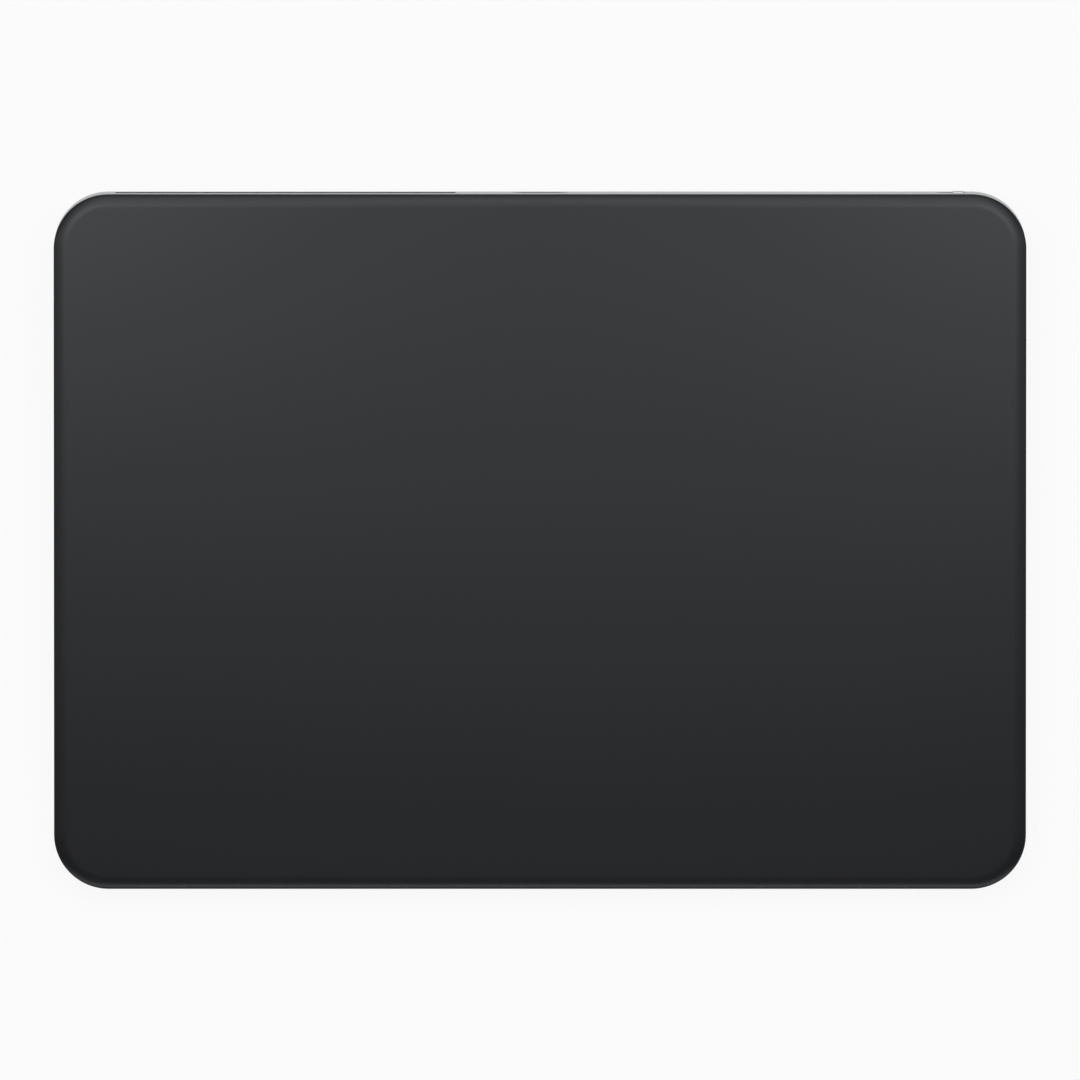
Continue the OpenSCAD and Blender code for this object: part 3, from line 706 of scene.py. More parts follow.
def copied_mesh(name, node, places):
    """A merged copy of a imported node's mesh, cut square to the pad's width at the places where it bends."""
    shape = bmesh.new()
    shape.from_mesh(frame["nodes"][node].data)
    bmesh.ops.remove_doubles(shape, verts=shape.verts, dist=MERGE)
    for place in places:
        whole = shape.verts[:] + shape.edges[:] + shape.faces[:]
        bmesh.ops.bisect_plane(shape, geom=whole, dist=MERGE, plane_co=place, plane_no=RIGHT)
    mesh = bpy.data.meshes.new(name)
    shape.to_mesh(mesh)
    shape.free()
    if "custom_normal" in mesh.attributes:
        mesh.attributes.remove(mesh.attributes["custom_normal"])
    return mesh


def outline(half_width, half_depth, radius, steps):
    """Stations round a rounded rectangle: the centre of the nearest corner arc, and the way outwards."""
    turn = np.linspace(0.0, QUARTER, steps + 1)
    angle = (np.arange(4)[:, None] * QUARTER + turn).ravel()
    side = np.repeat(((1, 1), (-1, 1), (-1, -1), (1, -1)), steps + 1, axis=0)
    centre = side * (half_width - radius, half_depth - radius)
    return centre, np.stack((np.cos(angle), np.sin(angle)), axis=-1)


def standing(middle, plan, height):
    """Rings and end points of a shell whose rings each lie level, at the heights of a profile."""
    tall = np.broadcast_to(height[:, None, None], plan.shape[:2] + (1,))
    ends = [(middle[0], middle[1], level) for level in (height[0], height[-1])]
    return np.concatenate((plan, tall), axis=-1), np.array(ends)


def slab(middle, half, radius, steps, past, height):
    """Rings and end points of a rounded slab: an edge profile carried round a rounded rectangle.

    The profile gives, from the top to the underside, the distance past the outline and the height.
    """
    centre, way = outline(half[0], half[1], radius, steps)
    plan = middle[:2] + centre + (radius + past)[:, None, None] * way
    return standing(middle, plan, height)


def turned(middle, wide, height, steps):
    """Rings and end points of a turned piece: a profile of radius and height carried round an axis."""
    angle = np.linspace(0.0, 2 * math.pi, steps, endpoint=False)
    way = np.stack((np.cos(angle), np.sin(angle)), axis=-1)
    plan = middle[:2] + wide[:, None, None] * way
    return standing(middle, plan, height)


ARC_STEPS = 9


def rounded_path(corners, radii, steps=ARC_STEPS):
    """Points along straight runs whose corners are arcs: each arc swings evenly about its centre."""
    corners = np.array(corners, float)
    parts = [corners[:1]]
    for before, corner, after, radius in zip(corners, corners[1:], corners[2:], radii):
        back, on = before - corner, after - corner
        back, on = back / np.linalg.norm(back), on / np.linalg.norm(on)
        half = math.acos(float(np.clip(back @ on, -1.0, 1.0))) / 2
        middle = corner + (back + on) / np.linalg.norm(back + on) * radius / math.sin(half)
        first = corner + back * radius / math.tan(half) - middle
        last = corner + on * radius / math.tan(half) - middle
        sweep = math.pi - 2 * half
        share = np.linspace(0.0, 1.0, steps)[:, None]
        arc = np.sin((1 - share) * sweep) * first + np.sin(share * sweep) * last
        parts.append(middle + arc / math.sin(sweep))
    return np.concatenate((*parts, corners[-1:]))


RUN_RISE = 0.03 * MM
RUN_STEPS = 8


def ribbon(path, across, width, thick, runs):
    """Rings and end points of a flexible print: a flat section carried along a path without twist.

    The section is level below. Above, copper runs stand a hair proud: the height follows a flattened cosine
    across the width. The across direction is kept square to the path from station to station.
    """
    path = np.array(path, float)
    way = np.gradient(path, axis=0)
    way /= np.linalg.norm(way, axis=1)[:, None]
    side = [np.array(across, float)]
    for ahead in way:
        flat = side[-1] - ahead * (side[-1] @ ahead)
        side.append(flat / np.linalg.norm(flat))
    side = np.array(side[1:])
    share = np.linspace(-0.5, 0.5, RUN_STEPS * runs + 1)
    rise = RUN_RISE * np.clip(0.5 - 0.9 * np.cos(2 * math.pi * runs * (share + 0.5)), 0.0, 1.0)
    place = np.concatenate((share, (0.5, -0.5)))
    level = np.concatenate((thick / 2 - RUN_RISE + rise, (-thick / 2, -thick / 2)))
    sideways = np.broadcast_to(width, len(path))[:, None] * place
    face = np.cross(way, side)
    rings = path[:, None] + side[:, None] * sideways[..., None] + face[:, None] * level[:, None]
    return rings, np.stack((path[0], path[-1]))


ROLL_STEPS = 25
UNDER_STEPS = 5
GLASS_BORDER = 0.6 * MM


def glass_profile(sizes, low, high):
    """The edge of the glass as distance past the outline and height, from the top to the underside.

    A wide arc whose radius follows from the roll's width and drop leaves the top tangent to it, a small arc
    takes over where the wide one has turned far enough to end tangent to the side, and a smaller arc still
    closes the side to the underside. A narrow flat border lies inside the profile above and below.
    """
    wide = (sizes.roll_width**2 + sizes.roll_drop**2) / (2 * sizes.roll_drop)
    small = sizes.edge_radius
    under = small / 2
    end = math.asin((sizes.roll_width - small) / (wide - small))
    roll = np.linspace(0.0, end, ROLL_STEPS)
    turn = np.linspace(end, QUARTER, ARC_STEPS)[1:]
    back = np.linspace(QUARTER, math.pi, UNDER_STEPS)
    start = -sizes.roll_width
    past = np.concatenate(
        (
            [start - GLASS_BORDER],
            start + wide * np.sin(roll),
            start + (wide - small) * math.sin(end) + small * np.sin(turn),
            under * (np.sin(back) - 1),
            [-GLASS_BORDER],
        )
    )
    height = np.concatenate(
        (
            [high],
            high - wide + wide * np.cos(roll),
            high - wide + (wide - small) * math.cos(end) + small * np.cos(turn),
            low + under * (1 + np.cos(back)),
            [low],
        )
    )
    return past, height


class TRACKPAD_OT_glass(Operator):
    """Builds the touch glass: the edge profile carried round the outline, closed above and below"""

    bl_idname = "trackpad.glass"
    bl_label = "Touch glass"

    def execute(self, context):
        sizes = context.scene.trackpad_sizes
        half = (GLASS_HIGH - GLASS_LOW) / 2
        past, height = glass_profile(sizes, GLASS_LOW[2], GLASS_HIGH[2])
        rings, ends = slab(GLASS_MIDDLE, half, sizes.corner_radius, sizes.corner_steps, past, height)
        piece = make_piece("glass_plate", [(rings @ AXES, ends @ AXES)], "touch_glass", "touch_glass")
        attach(piece, "touch_plate")
        return {"FINISHED"}


FOOT_BEVEL = 0.04 * MM
SOLE_LAND = 1.4 * MM
SOLE_SLOPE = 1.9 * MM
SOLE_DISH = 0.05 * MM


def foot_profile(sizes, radius, low, high):
    """A foot as radius and height: flat glued face, straight side, round sole edge, hair's dish below."""
    edge = sizes.sole_radius
    turn = np.linspace(0.0, QUARTER, ARC_STEPS)
    wide = np.concatenate(
        (
            [radius - edge, radius - FOOT_BEVEL, radius],
            radius - edge + edge * np.cos(turn),
            [radius - SOLE_LAND, radius - SOLE_SLOPE],
        )
    )
    tall = np.concatenate(
        (
            [high, high, high - FOOT_BEVEL],
            low + edge - edge * np.sin(turn),
            [low, low + SOLE_DISH],
        )
    )
    return wide, tall


class TRACKPAD_OT_feet(Operator):
    """Builds the four feet: a profile turned about an upright axis"""

    bl_idname = "trackpad.feet"
    bl_label = "Feet"

    def execute(self, context):
        sizes = context.scene.trackpad_sizes
        for corner in CORNERS:
            low, high, middle = span(np.array(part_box("foot_" + corner)))
            wide, tall = foot_profile(sizes, (high[0] - low[0]) / 2, low[2], high[2])
            shell = turned(middle, wide, tall, sizes.foot_steps)
            piece = make_piece("sole_" + corner, [shell], "rubber", "foot_" + corner)
            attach(piece, "enclosure")
        return {"FINISHED"}


SEAL_STEPS = 24


def squared(wave):
    """A sine or cosine pushed out towards a square, which makes a circle's section a rounded box."""
    return np.sign(wave) * np.sqrt(np.abs(wave))


class TRACKPAD_OT_seal(Operator):
    """Builds the rim seal: a rounded foam section carried round the rim"""

    bl_idname = "trackpad.seal"
    bl_label = "Rim seal"

    def execute(self, context):
        sizes = context.scene.trackpad_sizes
        points = plate_points("rim_gasket")
        low, high, middle = span(points)
        half = (high - low) / 2
        radius = sizes.corner_radius - (GLASS_HIGH[0] - high[0])
        straight = abs(points[:, 1] - middle[1]) < half[1] - radius + MERGE
        inside = points[straight & (points[:, 0] < high[0] - MERGE), 0].max()
        width, tall = high[0] - inside, high[2] - low[2]
        angle = np.linspace(0.0, 2 * math.pi, SEAL_STEPS, endpoint=False)
        past = width * (squared(np.cos(angle)) - 1) / 2
        height = middle[2] + tall * squared(np.sin(angle)) / 2
        rings, _ = slab(middle, half, radius, sizes.corner_steps, past, height)
        piece = make_piece("rim_seal", [(rings @ AXES, ())], "gasket", "rim_gasket")
        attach(piece, "enclosure")
        anchor = (middle[0], middle[1], low[2]) @ AXES
        keep = 1 - TRAVEL / tall
        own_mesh(piece)
        return {"FINISHED"}


GEL_BULGE = 0.16 * MM
GEL_STEPS = 13
FOIL_RUNS = 8


def disc_profile(radius, low, high):
    """A gel disc as radius and height: level faces and a side that bulges as half an ellipse."""
    turn = np.linspace(0.0, math.pi, GEL_STEPS)
    wide = radius - GEL_BULGE + GEL_BULGE * np.sin(turn)
    tall = (low + high) / 2 + (high - low) / 2 * np.cos(turn)
    return np.concatenate(([radius / 2], wide, [radius / 2])), np.concatenate(([high], tall, [low]))


def leaf_neck(corner):
    """Both ends of a leaf's neck: where the tub holds it, and where the pad under its puck begins."""
    puck = span(plate_points("force_puck_" + corner))[2]
    leaf = plate_points("spring_leaf_" + corner)
    outwards = math.copysign(1.0, puck[0])
    reach = (leaf[:, 0] - puck[0]) * outwards
    pad = -reach.min()
    tab = reach[reach > pad + MERGE].min()
    level = span(leaf)[2][2]
    return [(puck[0] + outwards * distance, puck[1], level) @ AXES for distance in (tab, pad)]


def spring_leaf(corner, steps, held, free):
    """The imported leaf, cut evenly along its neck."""
    share = np.linspace(0.0, 1.0, steps + 1)[:, None]
    mesh = copied_mesh("leaf_" + corner, "spring_leaf_" + corner, held + share * (free - held))
    piece = add_piece("leaf_" + corner, mesh, "spring_steel", "spring_leaf_" + corner)
    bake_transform(piece)


def gauge_foil(corner, steps):
    """The strain gauge under a leaf: a flat print with even stations along it."""
    low, high, middle = span(plate_points("strain_gauge_" + corner))
    path = np.tile(middle, (steps + 1, 1))
    path[:, 0] = np.linspace(low[0], high[0], steps + 1)
    foil = ribbon(path @ AXES, -AXES[1], high[1] - low[1], high[2] - low[2], FOIL_RUNS)
    piece = make_piece("gauge_foil_" + corner, [foil], "flex", "strain_gauge_" + corner)
    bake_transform(piece)


def gel_disc(corner, steps):
    """The gel between a puck and the plate: a bulging disc, turned square to the glass."""
    low, high, middle = span(plate_points("gel_pad_" + corner))
    wide, tall = disc_profile((high[0] - low[0]) / 2, low[2], high[2])
    rings, ends = turned(middle, wide, tall, steps)
    shell = (rings @ AXES, ends @ AXES)
    piece = make_piece("gel_disc_" + corner, [shell], "gel", "gel_pad_" + corner)
    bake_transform(piece)


class TRACKPAD_OT_springs(Operator):
    """Builds what bends when the plate is pressed: leaves, strain gauges and gel discs"""

    bl_idname = "trackpad.springs"
    bl_label = "Spring leaves"

    def execute(self, context):
        sizes = context.scene.trackpad_sizes
        for corner in CORNERS:
            held, free = leaf_neck(corner)
            spring_leaf(corner, sizes.leaf_steps, held, free)
            gauge_foil(corner, sizes.leaf_steps)
            gel_disc(corner, sizes.foot_steps)
        return {"FINISHED"}


COIL_GAP = 6 * MM
COIL_WALL = 1 * MM
COIL_STEPS = 8
WIRE_STEPS = 6
WIRE_SINK = 0.4
BORE_RADIUS = 0.05 * MM
COIL_RADIUS = 0.5 * MM


def coil(points, turns):
    """Rings of one winding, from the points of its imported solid.

    The section runs along the outside as one half-round scallop to each turn of wire, and back along the
    tooth. Each station of it goes from a rectangle round the tooth out to a rounded rectangle.
    """
    low, high, middle = span(points)
    half = (high - low) / 2
    offset = abs(points - middle)
    bore = points[offset[:, 0] < half[0] - COIL_WALL]
    bore = (bore.max(0) - bore.min(0)) / 2
    bore[2] = offset[offset[:, 0] < bore[0] + MERGE, 2].min()
    share = np.linspace(0.0, 1.0, WIRE_STEPS * turns + 1)
    wire = (high[1] - low[1]) / turns
    sink = WIRE_SINK * wire * (1 - np.sqrt(np.abs(np.sin(math.pi * turns * share))))
    inner_centre, inner_way = outline(bore[0], bore[2], BORE_RADIUS, COIL_STEPS)
    outer_centre, outer_way = outline(half[0], half[2], COIL_RADIUS, COIL_STEPS)
    inner = inner_centre + BORE_RADIUS * inner_way
    outer = (outer_centre + COIL_RADIUS * outer_way)[:, None] - sink[:, None] * outer_way[:, None]
    plan = np.concatenate((outer, inner[:, None], inner[:, None]), axis=1) + middle[[0, 2]]
    along = low[1] + (high[1] - low[1]) * np.concatenate((share, (1.0, 0.0)))
    along = np.broadcast_to(along, plan.shape[:2])
    return np.stack((plan[..., 0], along, plan[..., 1]), axis=-1)


class TRACKPAD_OT_coils(Operator):
    """Builds the windings of the drive: a section with a scallop to each turn, carried round each tooth"""

    bl_idname = "trackpad.coils"
    bl_label = "Windings"

    def execute(self, context):
        sizes = context.scene.trackpad_sizes
        points = plate_points("haptic_coils")
        points = points[np.argsort(points[:, 0])]
        gaps = np.flatnonzero(np.diff(points[:, 0]) > COIL_GAP) + 1
        shells = [coil(part, sizes.coil_turns) for part in np.split(points, gaps)]
        piece = make_piece("windings", [(rings @ AXES, ()) for rings in shells], "copper", "haptic_coils")
        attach(piece, "enclosure")
        return {"FINISHED"}


POUCH_CROWN = 0.18 * MM
POUCH_UPPER = 0.7 * MM
POUCH_LOWER = 0.4 * MM
POUCH_FOLD = 0.3 * MM
POUCH_CORNER = 2.0 * MM
POUCH_SEAM = (0.62, 0.58, 0.22, 0.18)
POUCH_STEPS = 12
POUCH_HEART = 0.1
POUCH_EDGE_STEPS = 8
SHELF_OVERLAP = 0.6 * MM
SHELF_CORNER = 0.8 * MM
SHELF_STEPS = 6
SHELF_PAST = (-1.0, -0.35, 0.0, 0.0, -0.35, -1.0)
SHELF_TALL = (1.0, 1.0, 0.8, 0.2, 0.0, 0.0)


def pouch(middle, half, low, high):
    """Rings and end points of the pouch.

    The edge profile, from the round top edge past the folded seam, a band that stands out from the side, to
    the round lower edge, is carried round the outline. The top repeats its first ring, drawn in towards the
    middle, and rises from it by a crown that falls off as the square of the way out.
    """
    turn = np.linspace(0.0, QUARTER, POUCH_EDGE_STEPS)
    past = np.concatenate(
        (
            -POUCH_FOLD - POUCH_UPPER * (1 - np.sin(turn)),
            (-POUCH_FOLD, 0.0, 0.0, -POUCH_FOLD),
            -POUCH_FOLD - POUCH_LOWER * (1 - np.cos(turn)),
        )
    )
    height = np.concatenate(
        (
            high - POUCH_CROWN - POUCH_UPPER * (1 - np.cos(turn)),
            low + (high - low) * np.array(POUCH_SEAM),
            low + POUCH_LOWER * (1 - np.sin(turn)),
        )
    )
    rings, ends = slab(middle, half, POUCH_CORNER, POUCH_STEPS, past, height)
    ends[0, 2] = high
    out = np.linspace(POUCH_HEART, 1.0, POUCH_STEPS, endpoint=False)[:, None, None]
    fall = np.concatenate((np.ones_like(out), np.ones_like(out), out), axis=-1)
    top = ends[0] + (rings[0] - ends[0]) * out * fall
    return np.concatenate((top, rings)), ends


class TRACKPAD_OT_cell(Operator):
    """Builds the battery pouch with its folded seam and the sealed ledge behind it"""

    bl_idname = "trackpad.cell"
    bl_label = "Battery pouch"

    def execute(self, context):
        points = node_points("battery_cell")
        low, high, _ = span(points)
        rear = points[points[:, 2] > high[2] - MERGE, 1].max()
        ledge = points[points[:, 1] > rear + MERGE]
        body_high = np.array((high[0], rear, high[2]))
        body = pouch((low + body_high) / 2, (body_high - low) / 2, low[2], high[2])
        under, over = ledge.min(0), ledge.max(0)
        under[1] = rear - SHELF_OVERLAP
        thick = over[2] - under[2]
        past = np.array(SHELF_PAST) * thick / 2
        tall = under[2] + thick * np.array(SHELF_TALL)
        shelf = slab((under + over) / 2, (over - under) / 2, SHELF_CORNER, SHELF_STEPS, past, tall)
        piece = make_piece("pouch", [body, shelf], "pouch", "battery_cell")
        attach(piece, "enclosure")
        return {"FINISHED"}


POWER_RUNS = 6
SENSOR_RUNS = 9
SENSOR_ARC_STEPS = 17
STRAND_RUNS = 3
STRAND_BEND = 0.3 * MM
LANE_BEND = 0.7
TAIL_LEAD = 1.4 * MM
TAIL_BEND = 0.4 * MM
TAIL_WIDTH = 0.8


def power_ribbon():
    """The print from the cell to the main board, straight back; gives the thickness that all prints share."""
    low, high, middle = span(np.array(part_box("battery_flex")))
    path = [(middle[0], y, middle[2]) for y in (low[1], high[1])]
    shell = ribbon(path, LEFT, high[0] - low[0], high[2] - low[2], POWER_RUNS)
    piece = make_piece("power_ribbon", [shell], "flex", "battery_flex")
    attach(piece, "enclosure")
    return high[2] - low[2]


def sensor_ribbon(thick):
    """The print between the two boards: a C on two quarter arcs."""
    low, high, middle = span(np.array(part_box("sensor_flex")))
    half = thick / 2
    near, far, down, up = low[1] + half, high[1], low[2] + half, high[2] - half
    turns = [(middle[0], y, z) for y, z in ((far, down), (near, down), (near, up), (far, up))]
    path = rounded_path(turns, ((up - down) / 2,) * 2, SENSOR_ARC_STEPS)
    shell = ribbon(path, LEFT, high[0] - low[0], thick, SENSOR_RUNS)
    piece = make_piece("sensor_ribbon", [shell], "flex", "sensor_flex")
    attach(piece, "enclosure")
    keep = 1 - TRAVEL * AXES[2][2] / (high[2] - low[2])
    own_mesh(piece)


def drive_ribbon(thick):
    """The print of the drive: down from its tray, along the floor, round a bend and up to the board."""
    points = node_points("haptic_flex")
    low, high, _ = span(points)
    floor = low[2] + thick / 2
    start = points[points[:, 0] < low[0] + 2 * thick + MERGE]
    width = start[start[:, 2] < low[2] + MERGE, 1].max() - low[1]
    tray = start[start[:, 2] > low[2] + 2 * thick, 2].min()
    lane, cross, end = high[0] - width / 2, low[1] + width / 2, high[1] - thick / 2
    rise = low[0] + 1.5 * thick
    turns = (
        (rise, cross, tray),
        (rise, cross, floor),
        (lane, cross, floor),
        (lane, end, floor),
        (lane, end, high[2]),
    )
    path = rounded_path(turns, (STRAND_BEND, LANE_BEND * width, STRAND_BEND))
    broad = np.where(np.arange(len(path)) < ARC_STEPS - 1, width / 2, width)
    shell = ribbon(path, (0, 1, 0), broad, thick, STRAND_RUNS)
    piece = make_piece("drive_ribbon", [shell], "flex", "haptic_flex")
    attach(piece, "enclosure")


def gauge_ribbon(side, thick):
    """The print along one side: straight back and up to the main board, with a bent tail to each gauge."""
    points = node_points("gauge_flex_" + side)
    low, high, middle = span(points)
    lane, floor, rear = middle[0], low[2] + thick / 2, high[1] - thick / 2
    board = points[points[:, 1] > high[1] - MERGE, 2].max()
    turns = ((lane, low[1], floor), (lane, rear, floor), (lane, rear, board))
    path = rounded_path(turns, (STRAND_BEND,))
    strand = ribbon(path, LEFT, high[0] - low[0], thick, STRAND_RUNS)
    piece = make_piece("gauge_ribbon_" + side, [strand], "flex", "gauge_flex_" + side)
    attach(piece, "enclosure")
    for end, lead in (("front", TAIL_LEAD), ("rear", -TAIL_LEAD)):
        gauge_low, _, gauge = span(plate_points("strain_gauge_" + end + "_" + side))
        top = (gauge[0], gauge[1], gauge_low[2]) @ AXES
        foot = top - AXES[2] * (top[2] - floor - thick) / AXES[2][2]
        path = rounded_path((foot + (0.0, lead, 0.0), foot, top), (TAIL_BEND,))
        tail = ribbon(path, LEFT, TAIL_WIDTH * (high[0] - low[0]), thick, STRAND_RUNS)
        piece = make_piece("gauge_tail_" + end + "_" + side, [tail], "flex", "gauge_flex_" + side)
        2 * top - foot
        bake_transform(piece)


class TRACKPAD_OT_ribbons(Operator):
    """Builds the flexible prints between the boards, the drive and the gauges"""

    bl_idname = "trackpad.ribbons"
    bl_label = "Flexible prints"

    def execute(self, context):
        thick = power_ribbon()
        sensor_ribbon(thick)
        drive_ribbon(thick)
        for side in ("left", "right"):
            gauge_ribbon(side, thick)
        return {"FINISHED"}


class TRACKPAD_OT_finishes(Operator):
    """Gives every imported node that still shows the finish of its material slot"""

    bl_idname = "trackpad.finishes"
    bl_label = "Finishes"

    def execute(self, context):
        for node in frame["nodes"].values():
            if node.hide_render:
                continue
            slot = node.data.materials[0].name
            if slot not in FINISHES:
                raise RuntimeError(node.name + " has no finish")
            node.data.materials[0] = finish_for(slot)
        return {"FINISHED"}


ROOM_GREY = (0.23, 0.23, 0.23, 1.0)
HORIZON = 0.02
FLOOR_LOW, FLOOR_HIGH = (-10.0, -14.0), (14.0, 10.0)
FLOOR_GAP = 0.02 * MM
FLOOR_WHITE = 0.9
SCREEN_REACH = 1.3
SCREEN_HEIGHT = 1.3
STRIP = {"place": (0.0, -0.309, 0.248), "aim": (0.0, -0.057, 0.005), "size": (0.8, 0.037)}
FILL = {"place": (0.0, 0.0, 1.2), "aim": (0.0, 0.0, 0.0), "size": (2.4, 2.4)}
SENSOR_WIDTH = 36.0
CLIP_END = 100.0

# Brightness over the softbox: along it from front to rear, and from its middle to its sides at the front,
# over the lamps and at the rear, with the shares of its length over which each gives way to the next.
SOFTBOX_HALF, SOFTBOX_FRONT, SOFTBOX_END = 0.5, -0.4, 0.42
SOFTBOX_FALL = (
    (0.0, 0.1), (0.22, 0.2), (0.36, 0.24), (0.4, 0.36), (0.44, 0.78), (0.48, 1.0), (0.58, 1.0),
    (0.7, 0.97), (0.77, 0.84), (0.84, 0.6), (0.89, 0.44), (0.94, 0.38), (1.0, 0.35),
)
SOFTBOX_EDGE = ((0.0, 0.31), (0.16, 0.29), (0.3, 0.2), (1.0, 0.2))
SOFTBOX_LAMPS = (
    (0.0, 0.26), (0.06, 0.31), (0.13, 0.68), (0.2, 0.98), (0.3, 0.86), (0.42, 0.42), (0.55, 0.3),
    (0.75, 0.25), (1.0, 0.25),
)
SOFTBOX_REAR = ((0.0, 0.55), (0.25, 0.55), (0.4, 0.36), (0.55, 0.18), (0.7, 0.1), (1.0, 0.08))
EDGE_TO_LAMPS = (0.45, 0.58)
LAMPS_TO_REAR = (0.56, 0.69)


class StageFinish(Finish):
    """A stage material that ends in a shader of its own."""

    def close(self, shader):
        """Makes a shader the material's surface."""
        self.tree.nodes.remove(self.shader)
        out = self.tree.nodes["Material Output"]
        self.tree.links.new(shader.socket, out.inputs["Surface"])
        return self.material


def floor_finish():
    """White to the eye and in mirrors, with a share of real light for the shadow; clear from below."""
    finish = StageFinish("floor_finish")
    lit = finish.node("ShaderNodeBsdfDiffuse", {}, {"Color": WHITE})
    white = finish.node("ShaderNodeEmission", {}, {"Color": WHITE, "Strength": 1.0})
    eye, mirror, through = (
        finish.node("ShaderNodeLightPath", output=ray)
        for ray in ("Is Camera Ray", "Is Glossy Ray", "Is Transmission Ray")
    )
    share = FLOOR_WHITE * eye.math("MAXIMUM", eye.math("MAXIMUM", eye, mirror), through)
    top = finish.node("ShaderNodeMixShader", {}, {0: share, 1: lit, 2: white})
    clear = finish.node("ShaderNodeBsdfTransparent")
    below = finish.node("ShaderNodeNewGeometry", output="Backfacing")
    return finish.close(finish.node("ShaderNodeMixShader", {}, {0: below, 1: top, 2: clear}))


def softbox_finish(light):
    """Light that varies over the softbox: dim at both ends, full behind its middle, a lamp to each side."""
    finish = StageFinish("softbox_finish")
    place = finish.node("ShaderNodeTexCoord", output="Object")
    along = finish.node("ShaderNodeSeparateXYZ", {}, {0: place}, "Y")
    across = finish.node("ShaderNodeSeparateXYZ", {}, {0: place}, "X")
    share = (along - SOFTBOX_FRONT) * (1.0 / (SOFTBOX_END - SOFTBOX_FRONT))
    beside = across.math("ABSOLUTE", across, 0.0) * (1.0 / SOFTBOX_HALF)
    fall = finish.node("ShaderNodeValToRGB", {"stops": SOFTBOX_FALL}, {0: share})
    edge, lamps, rear = (
        finish.node("ShaderNodeValToRGB", {"stops": stops}, {0: beside})
        for stops in (SOFTBOX_EDGE, SOFTBOX_LAMPS, SOFTBOX_REAR)
    )
    width = finish.mix(share.ramp(*EDGE_TO_LAMPS), edge, lamps)
    width = finish.mix(share.ramp(*LAMPS_TO_REAR), width, rear)
    glow = finish.mix(1.0, fall, width, "MULTIPLY")
    return finish.close(finish.node("ShaderNodeEmission", {}, {"Color": glow, "Strength": light}))


def screen_finish():
    """Even grey, which the glass and the metal show as the dim side of the room."""
    finish = StageFinish("screen_finish")
    return finish.close(finish.node("ShaderNodeEmission", {}, {"Color": ROOM_GREY, "Strength": 1.0}))


def stage_piece(name, points, faces, finish):
    """A piece of the stage, from points and faces, with its material."""
    mesh = bpy.data.meshes.new(name)
    mesh.from_pydata(points, [], faces)
    piece = bpy.data.objects.new(name, mesh)
    bpy.context.scene.collection.objects.link(piece)
    mesh.materials.append(finish)
    return piece


def flat_card(name, low, high, level, up, finish):
    """A level rectangle between two corners, facing up or down."""
    points = [(x, y, level) for x, y in (low, (high[0], low[1]), high, (low[0], high[1]))]
    return stage_piece(name, points, [(0, 1, 2, 3) if up else (3, 2, 1, 0)], finish)


def screen_ring():
    """Four upright screens round the pad, joined at their edges: a square carried up from the desk."""
    plan = np.array(((1, 1), (-1, 1), (-1, -1), (1, -1))) * SCREEN_REACH
    points = np.concatenate([np.column_stack((plan, np.full(4, z))) for z in (0.0, SCREEN_HEIGHT)])
    side = np.arange(4)
    beside = (side + 1) % 4
    faces = np.stack((side, side + 4, beside + 4, beside), axis=-1)
    return stage_piece("screens", points.tolist(), faces.tolist(), screen_finish())


def lamp(name, place, aim, size, light):
    """A soft area lamp of a brightness, where 1 is white, turned to a point."""
    data = bpy.data.lights.new(name, "AREA")
    data.shape = "RECTANGLE"
    data.size, data.size_y = size
    data.energy = light * math.pi * size[0] * size[1]
    made = bpy.data.objects.new(name, data)
    bpy.context.scene.collection.objects.link(made)
    made.location = place
    made.rotation_euler = (Vector(aim) - Vector(place)).to_track_quat("-Z", "Y").to_euler()
    made.visible_camera = False
    return made


def set_world():
    """A plain white studio over grey ground, the same to every ray; screens and softbox stand before it."""
    world = bpy.data.worlds.new("studio")
    bpy.context.scene.world = world
    world.use_nodes = True
    room = Nodes(world.node_tree)
    way = room.node("ShaderNodeTexCoord", output="Generated")
    rise = room.node("ShaderNodeSeparateXYZ", {}, {0: way}, "Z").ramp(-HORIZON, HORIZON)
    room.put(room.tree.nodes["Background"].inputs["Color"], room.mix(rise, ROOM_GREY, WHITE))


def set_camera(scene, stage):
    """A long lens over the pad, so high up that the frame is as wide there as the stage says."""
    data = bpy.data.cameras.new("camera")
    data.lens = stage.lens
    data.sensor_width = SENSOR_WIDTH
    data.clip_end = CLIP_END
    camera = bpy.data.objects.new("camera", data)
    scene.collection.objects.link(camera)
    aim = Vector((0.0, stage.aim_shift, (CAD_BOX[0][2] + CAD_BOX[1][2]) / 2))
    height = stage.view_width * stage.lens / data.sensor_width
    camera.location = aim + Vector((0.0, stage.camera_lean, height))
    camera.rotation_euler = (-math.atan2(stage.camera_lean, height), 0.0, 0.0)
    scene.camera = camera


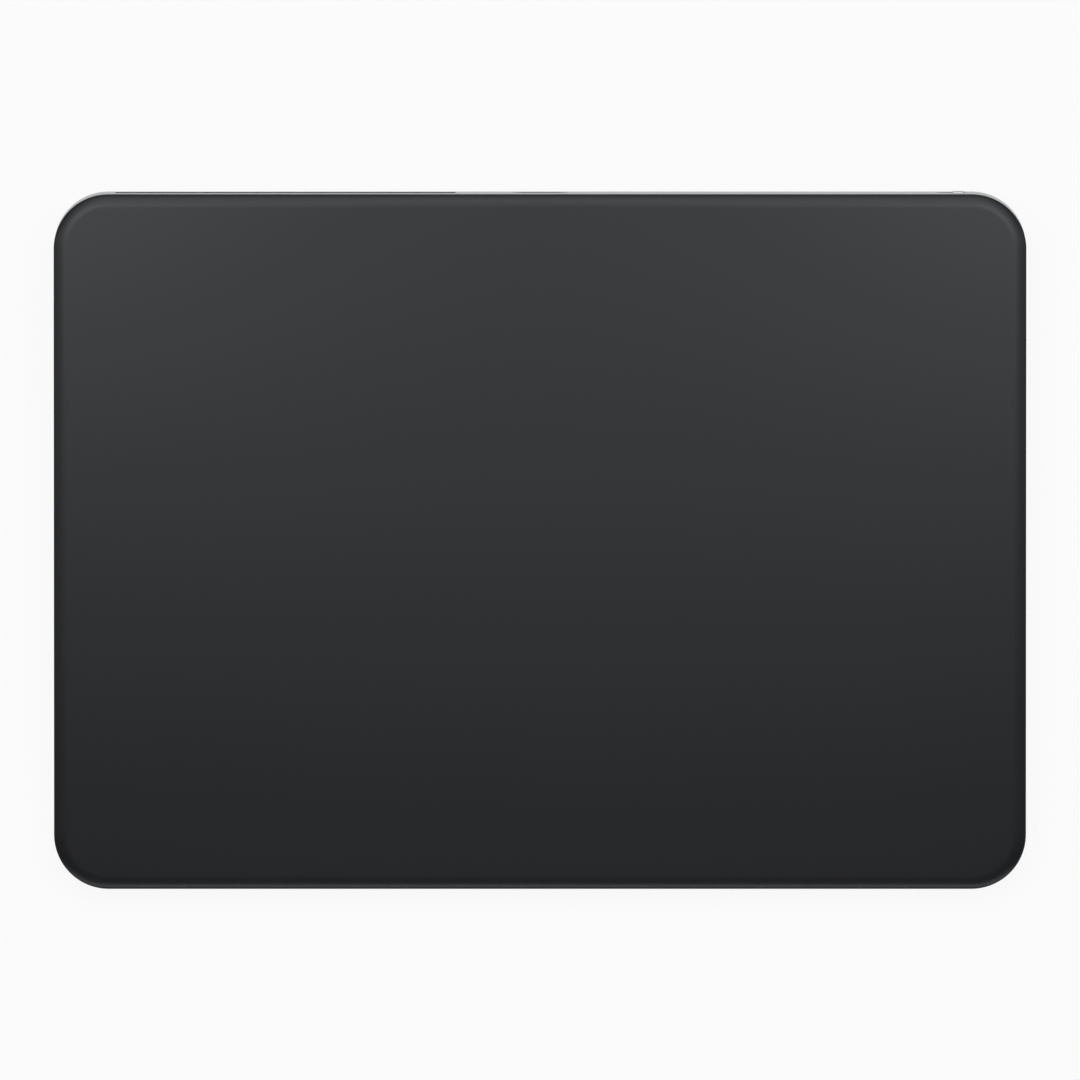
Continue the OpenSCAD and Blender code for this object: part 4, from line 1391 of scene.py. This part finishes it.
class TRACKPAD_OT_stage(Operator):
    """Sets the floor, the lights, the screens, the world and the camera"""

    bl_idname = "trackpad.stage"
    bl_label = "Stage"

    def execute(self, context):
        scene = context.scene
        stage = scene.trackpad_stage
        scene.view_settings.view_transform = "Standard"
        desk = CAD_BOX[0][2] - FLOOR_GAP
        floor = flat_card("floor", FLOOR_LOW, FLOOR_HIGH, desk, True, floor_finish())
        floor.visible_diffuse = False
        front, rear = (-SOFTBOX_HALF, SOFTBOX_FRONT), (SOFTBOX_HALF, SOFTBOX_END)
        glow = softbox_finish(stage.box_light)
        softbox = flat_card("softbox", front, rear, stage.box_height, False, glow)
        softbox.visible_camera = False
        screens = screen_ring()
        screens.visible_camera = False
        lamp("front_strip", light=stage.strip_light, **STRIP)
        fill = lamp("fill", light=stage.fill_light, **FILL)
        fill.visible_glossy = False
        set_world()
        set_camera(scene, stage)
        return {"FINISHED"}


OPERATORS = (
    TRACKPAD_OT_stage,
    TRACKPAD_OT_glass,
    TRACKPAD_OT_feet,
    TRACKPAD_OT_seal,
    TRACKPAD_OT_springs,
    TRACKPAD_OT_coils,
    TRACKPAD_OT_cell,
    TRACKPAD_OT_ribbons,
    TRACKPAD_OT_finishes,
)


class TRACKPAD_PT_build(Panel):
    """Lists the steps that build the trackpad"""

    bl_idname = "TRACKPAD_PT_build"
    bl_label = "Desk trackpad"
    bl_space_type = "VIEW_3D"
    bl_region_type = "UI"
    bl_category = "Trackpad"

    def draw(self, context):
        for step in OPERATORS:
            self.layout.operator(step.bl_idname)
        for name, group in GROUPS.items():
            for label in group.__annotations__:
                self.layout.prop(getattr(context.scene, name), label)


CLASSES = (*GROUPS.values(), *OPERATORS, TRACKPAD_PT_build)


def register():
    """Registers the classes and hangs the property groups on the scene."""
    for made in CLASSES:
        bpy.utils.register_class(made)
    for name, group in GROUPS.items():
        setattr(bpy.types.Scene, name, PointerProperty(type=group))


def unregister():
    """Undoes register."""
    for name in GROUPS:
        delattr(bpy.types.Scene, name)
    for made in reversed(CLASSES):
        bpy.utils.unregister_class(made)


def main():
    """Builds every piece in order."""
    register()
    for step in OPERATORS:
        group, name = step.bl_idname.split(".")
        getattr(getattr(bpy.ops, group), name)()


if __name__ == "__main__":
    main()
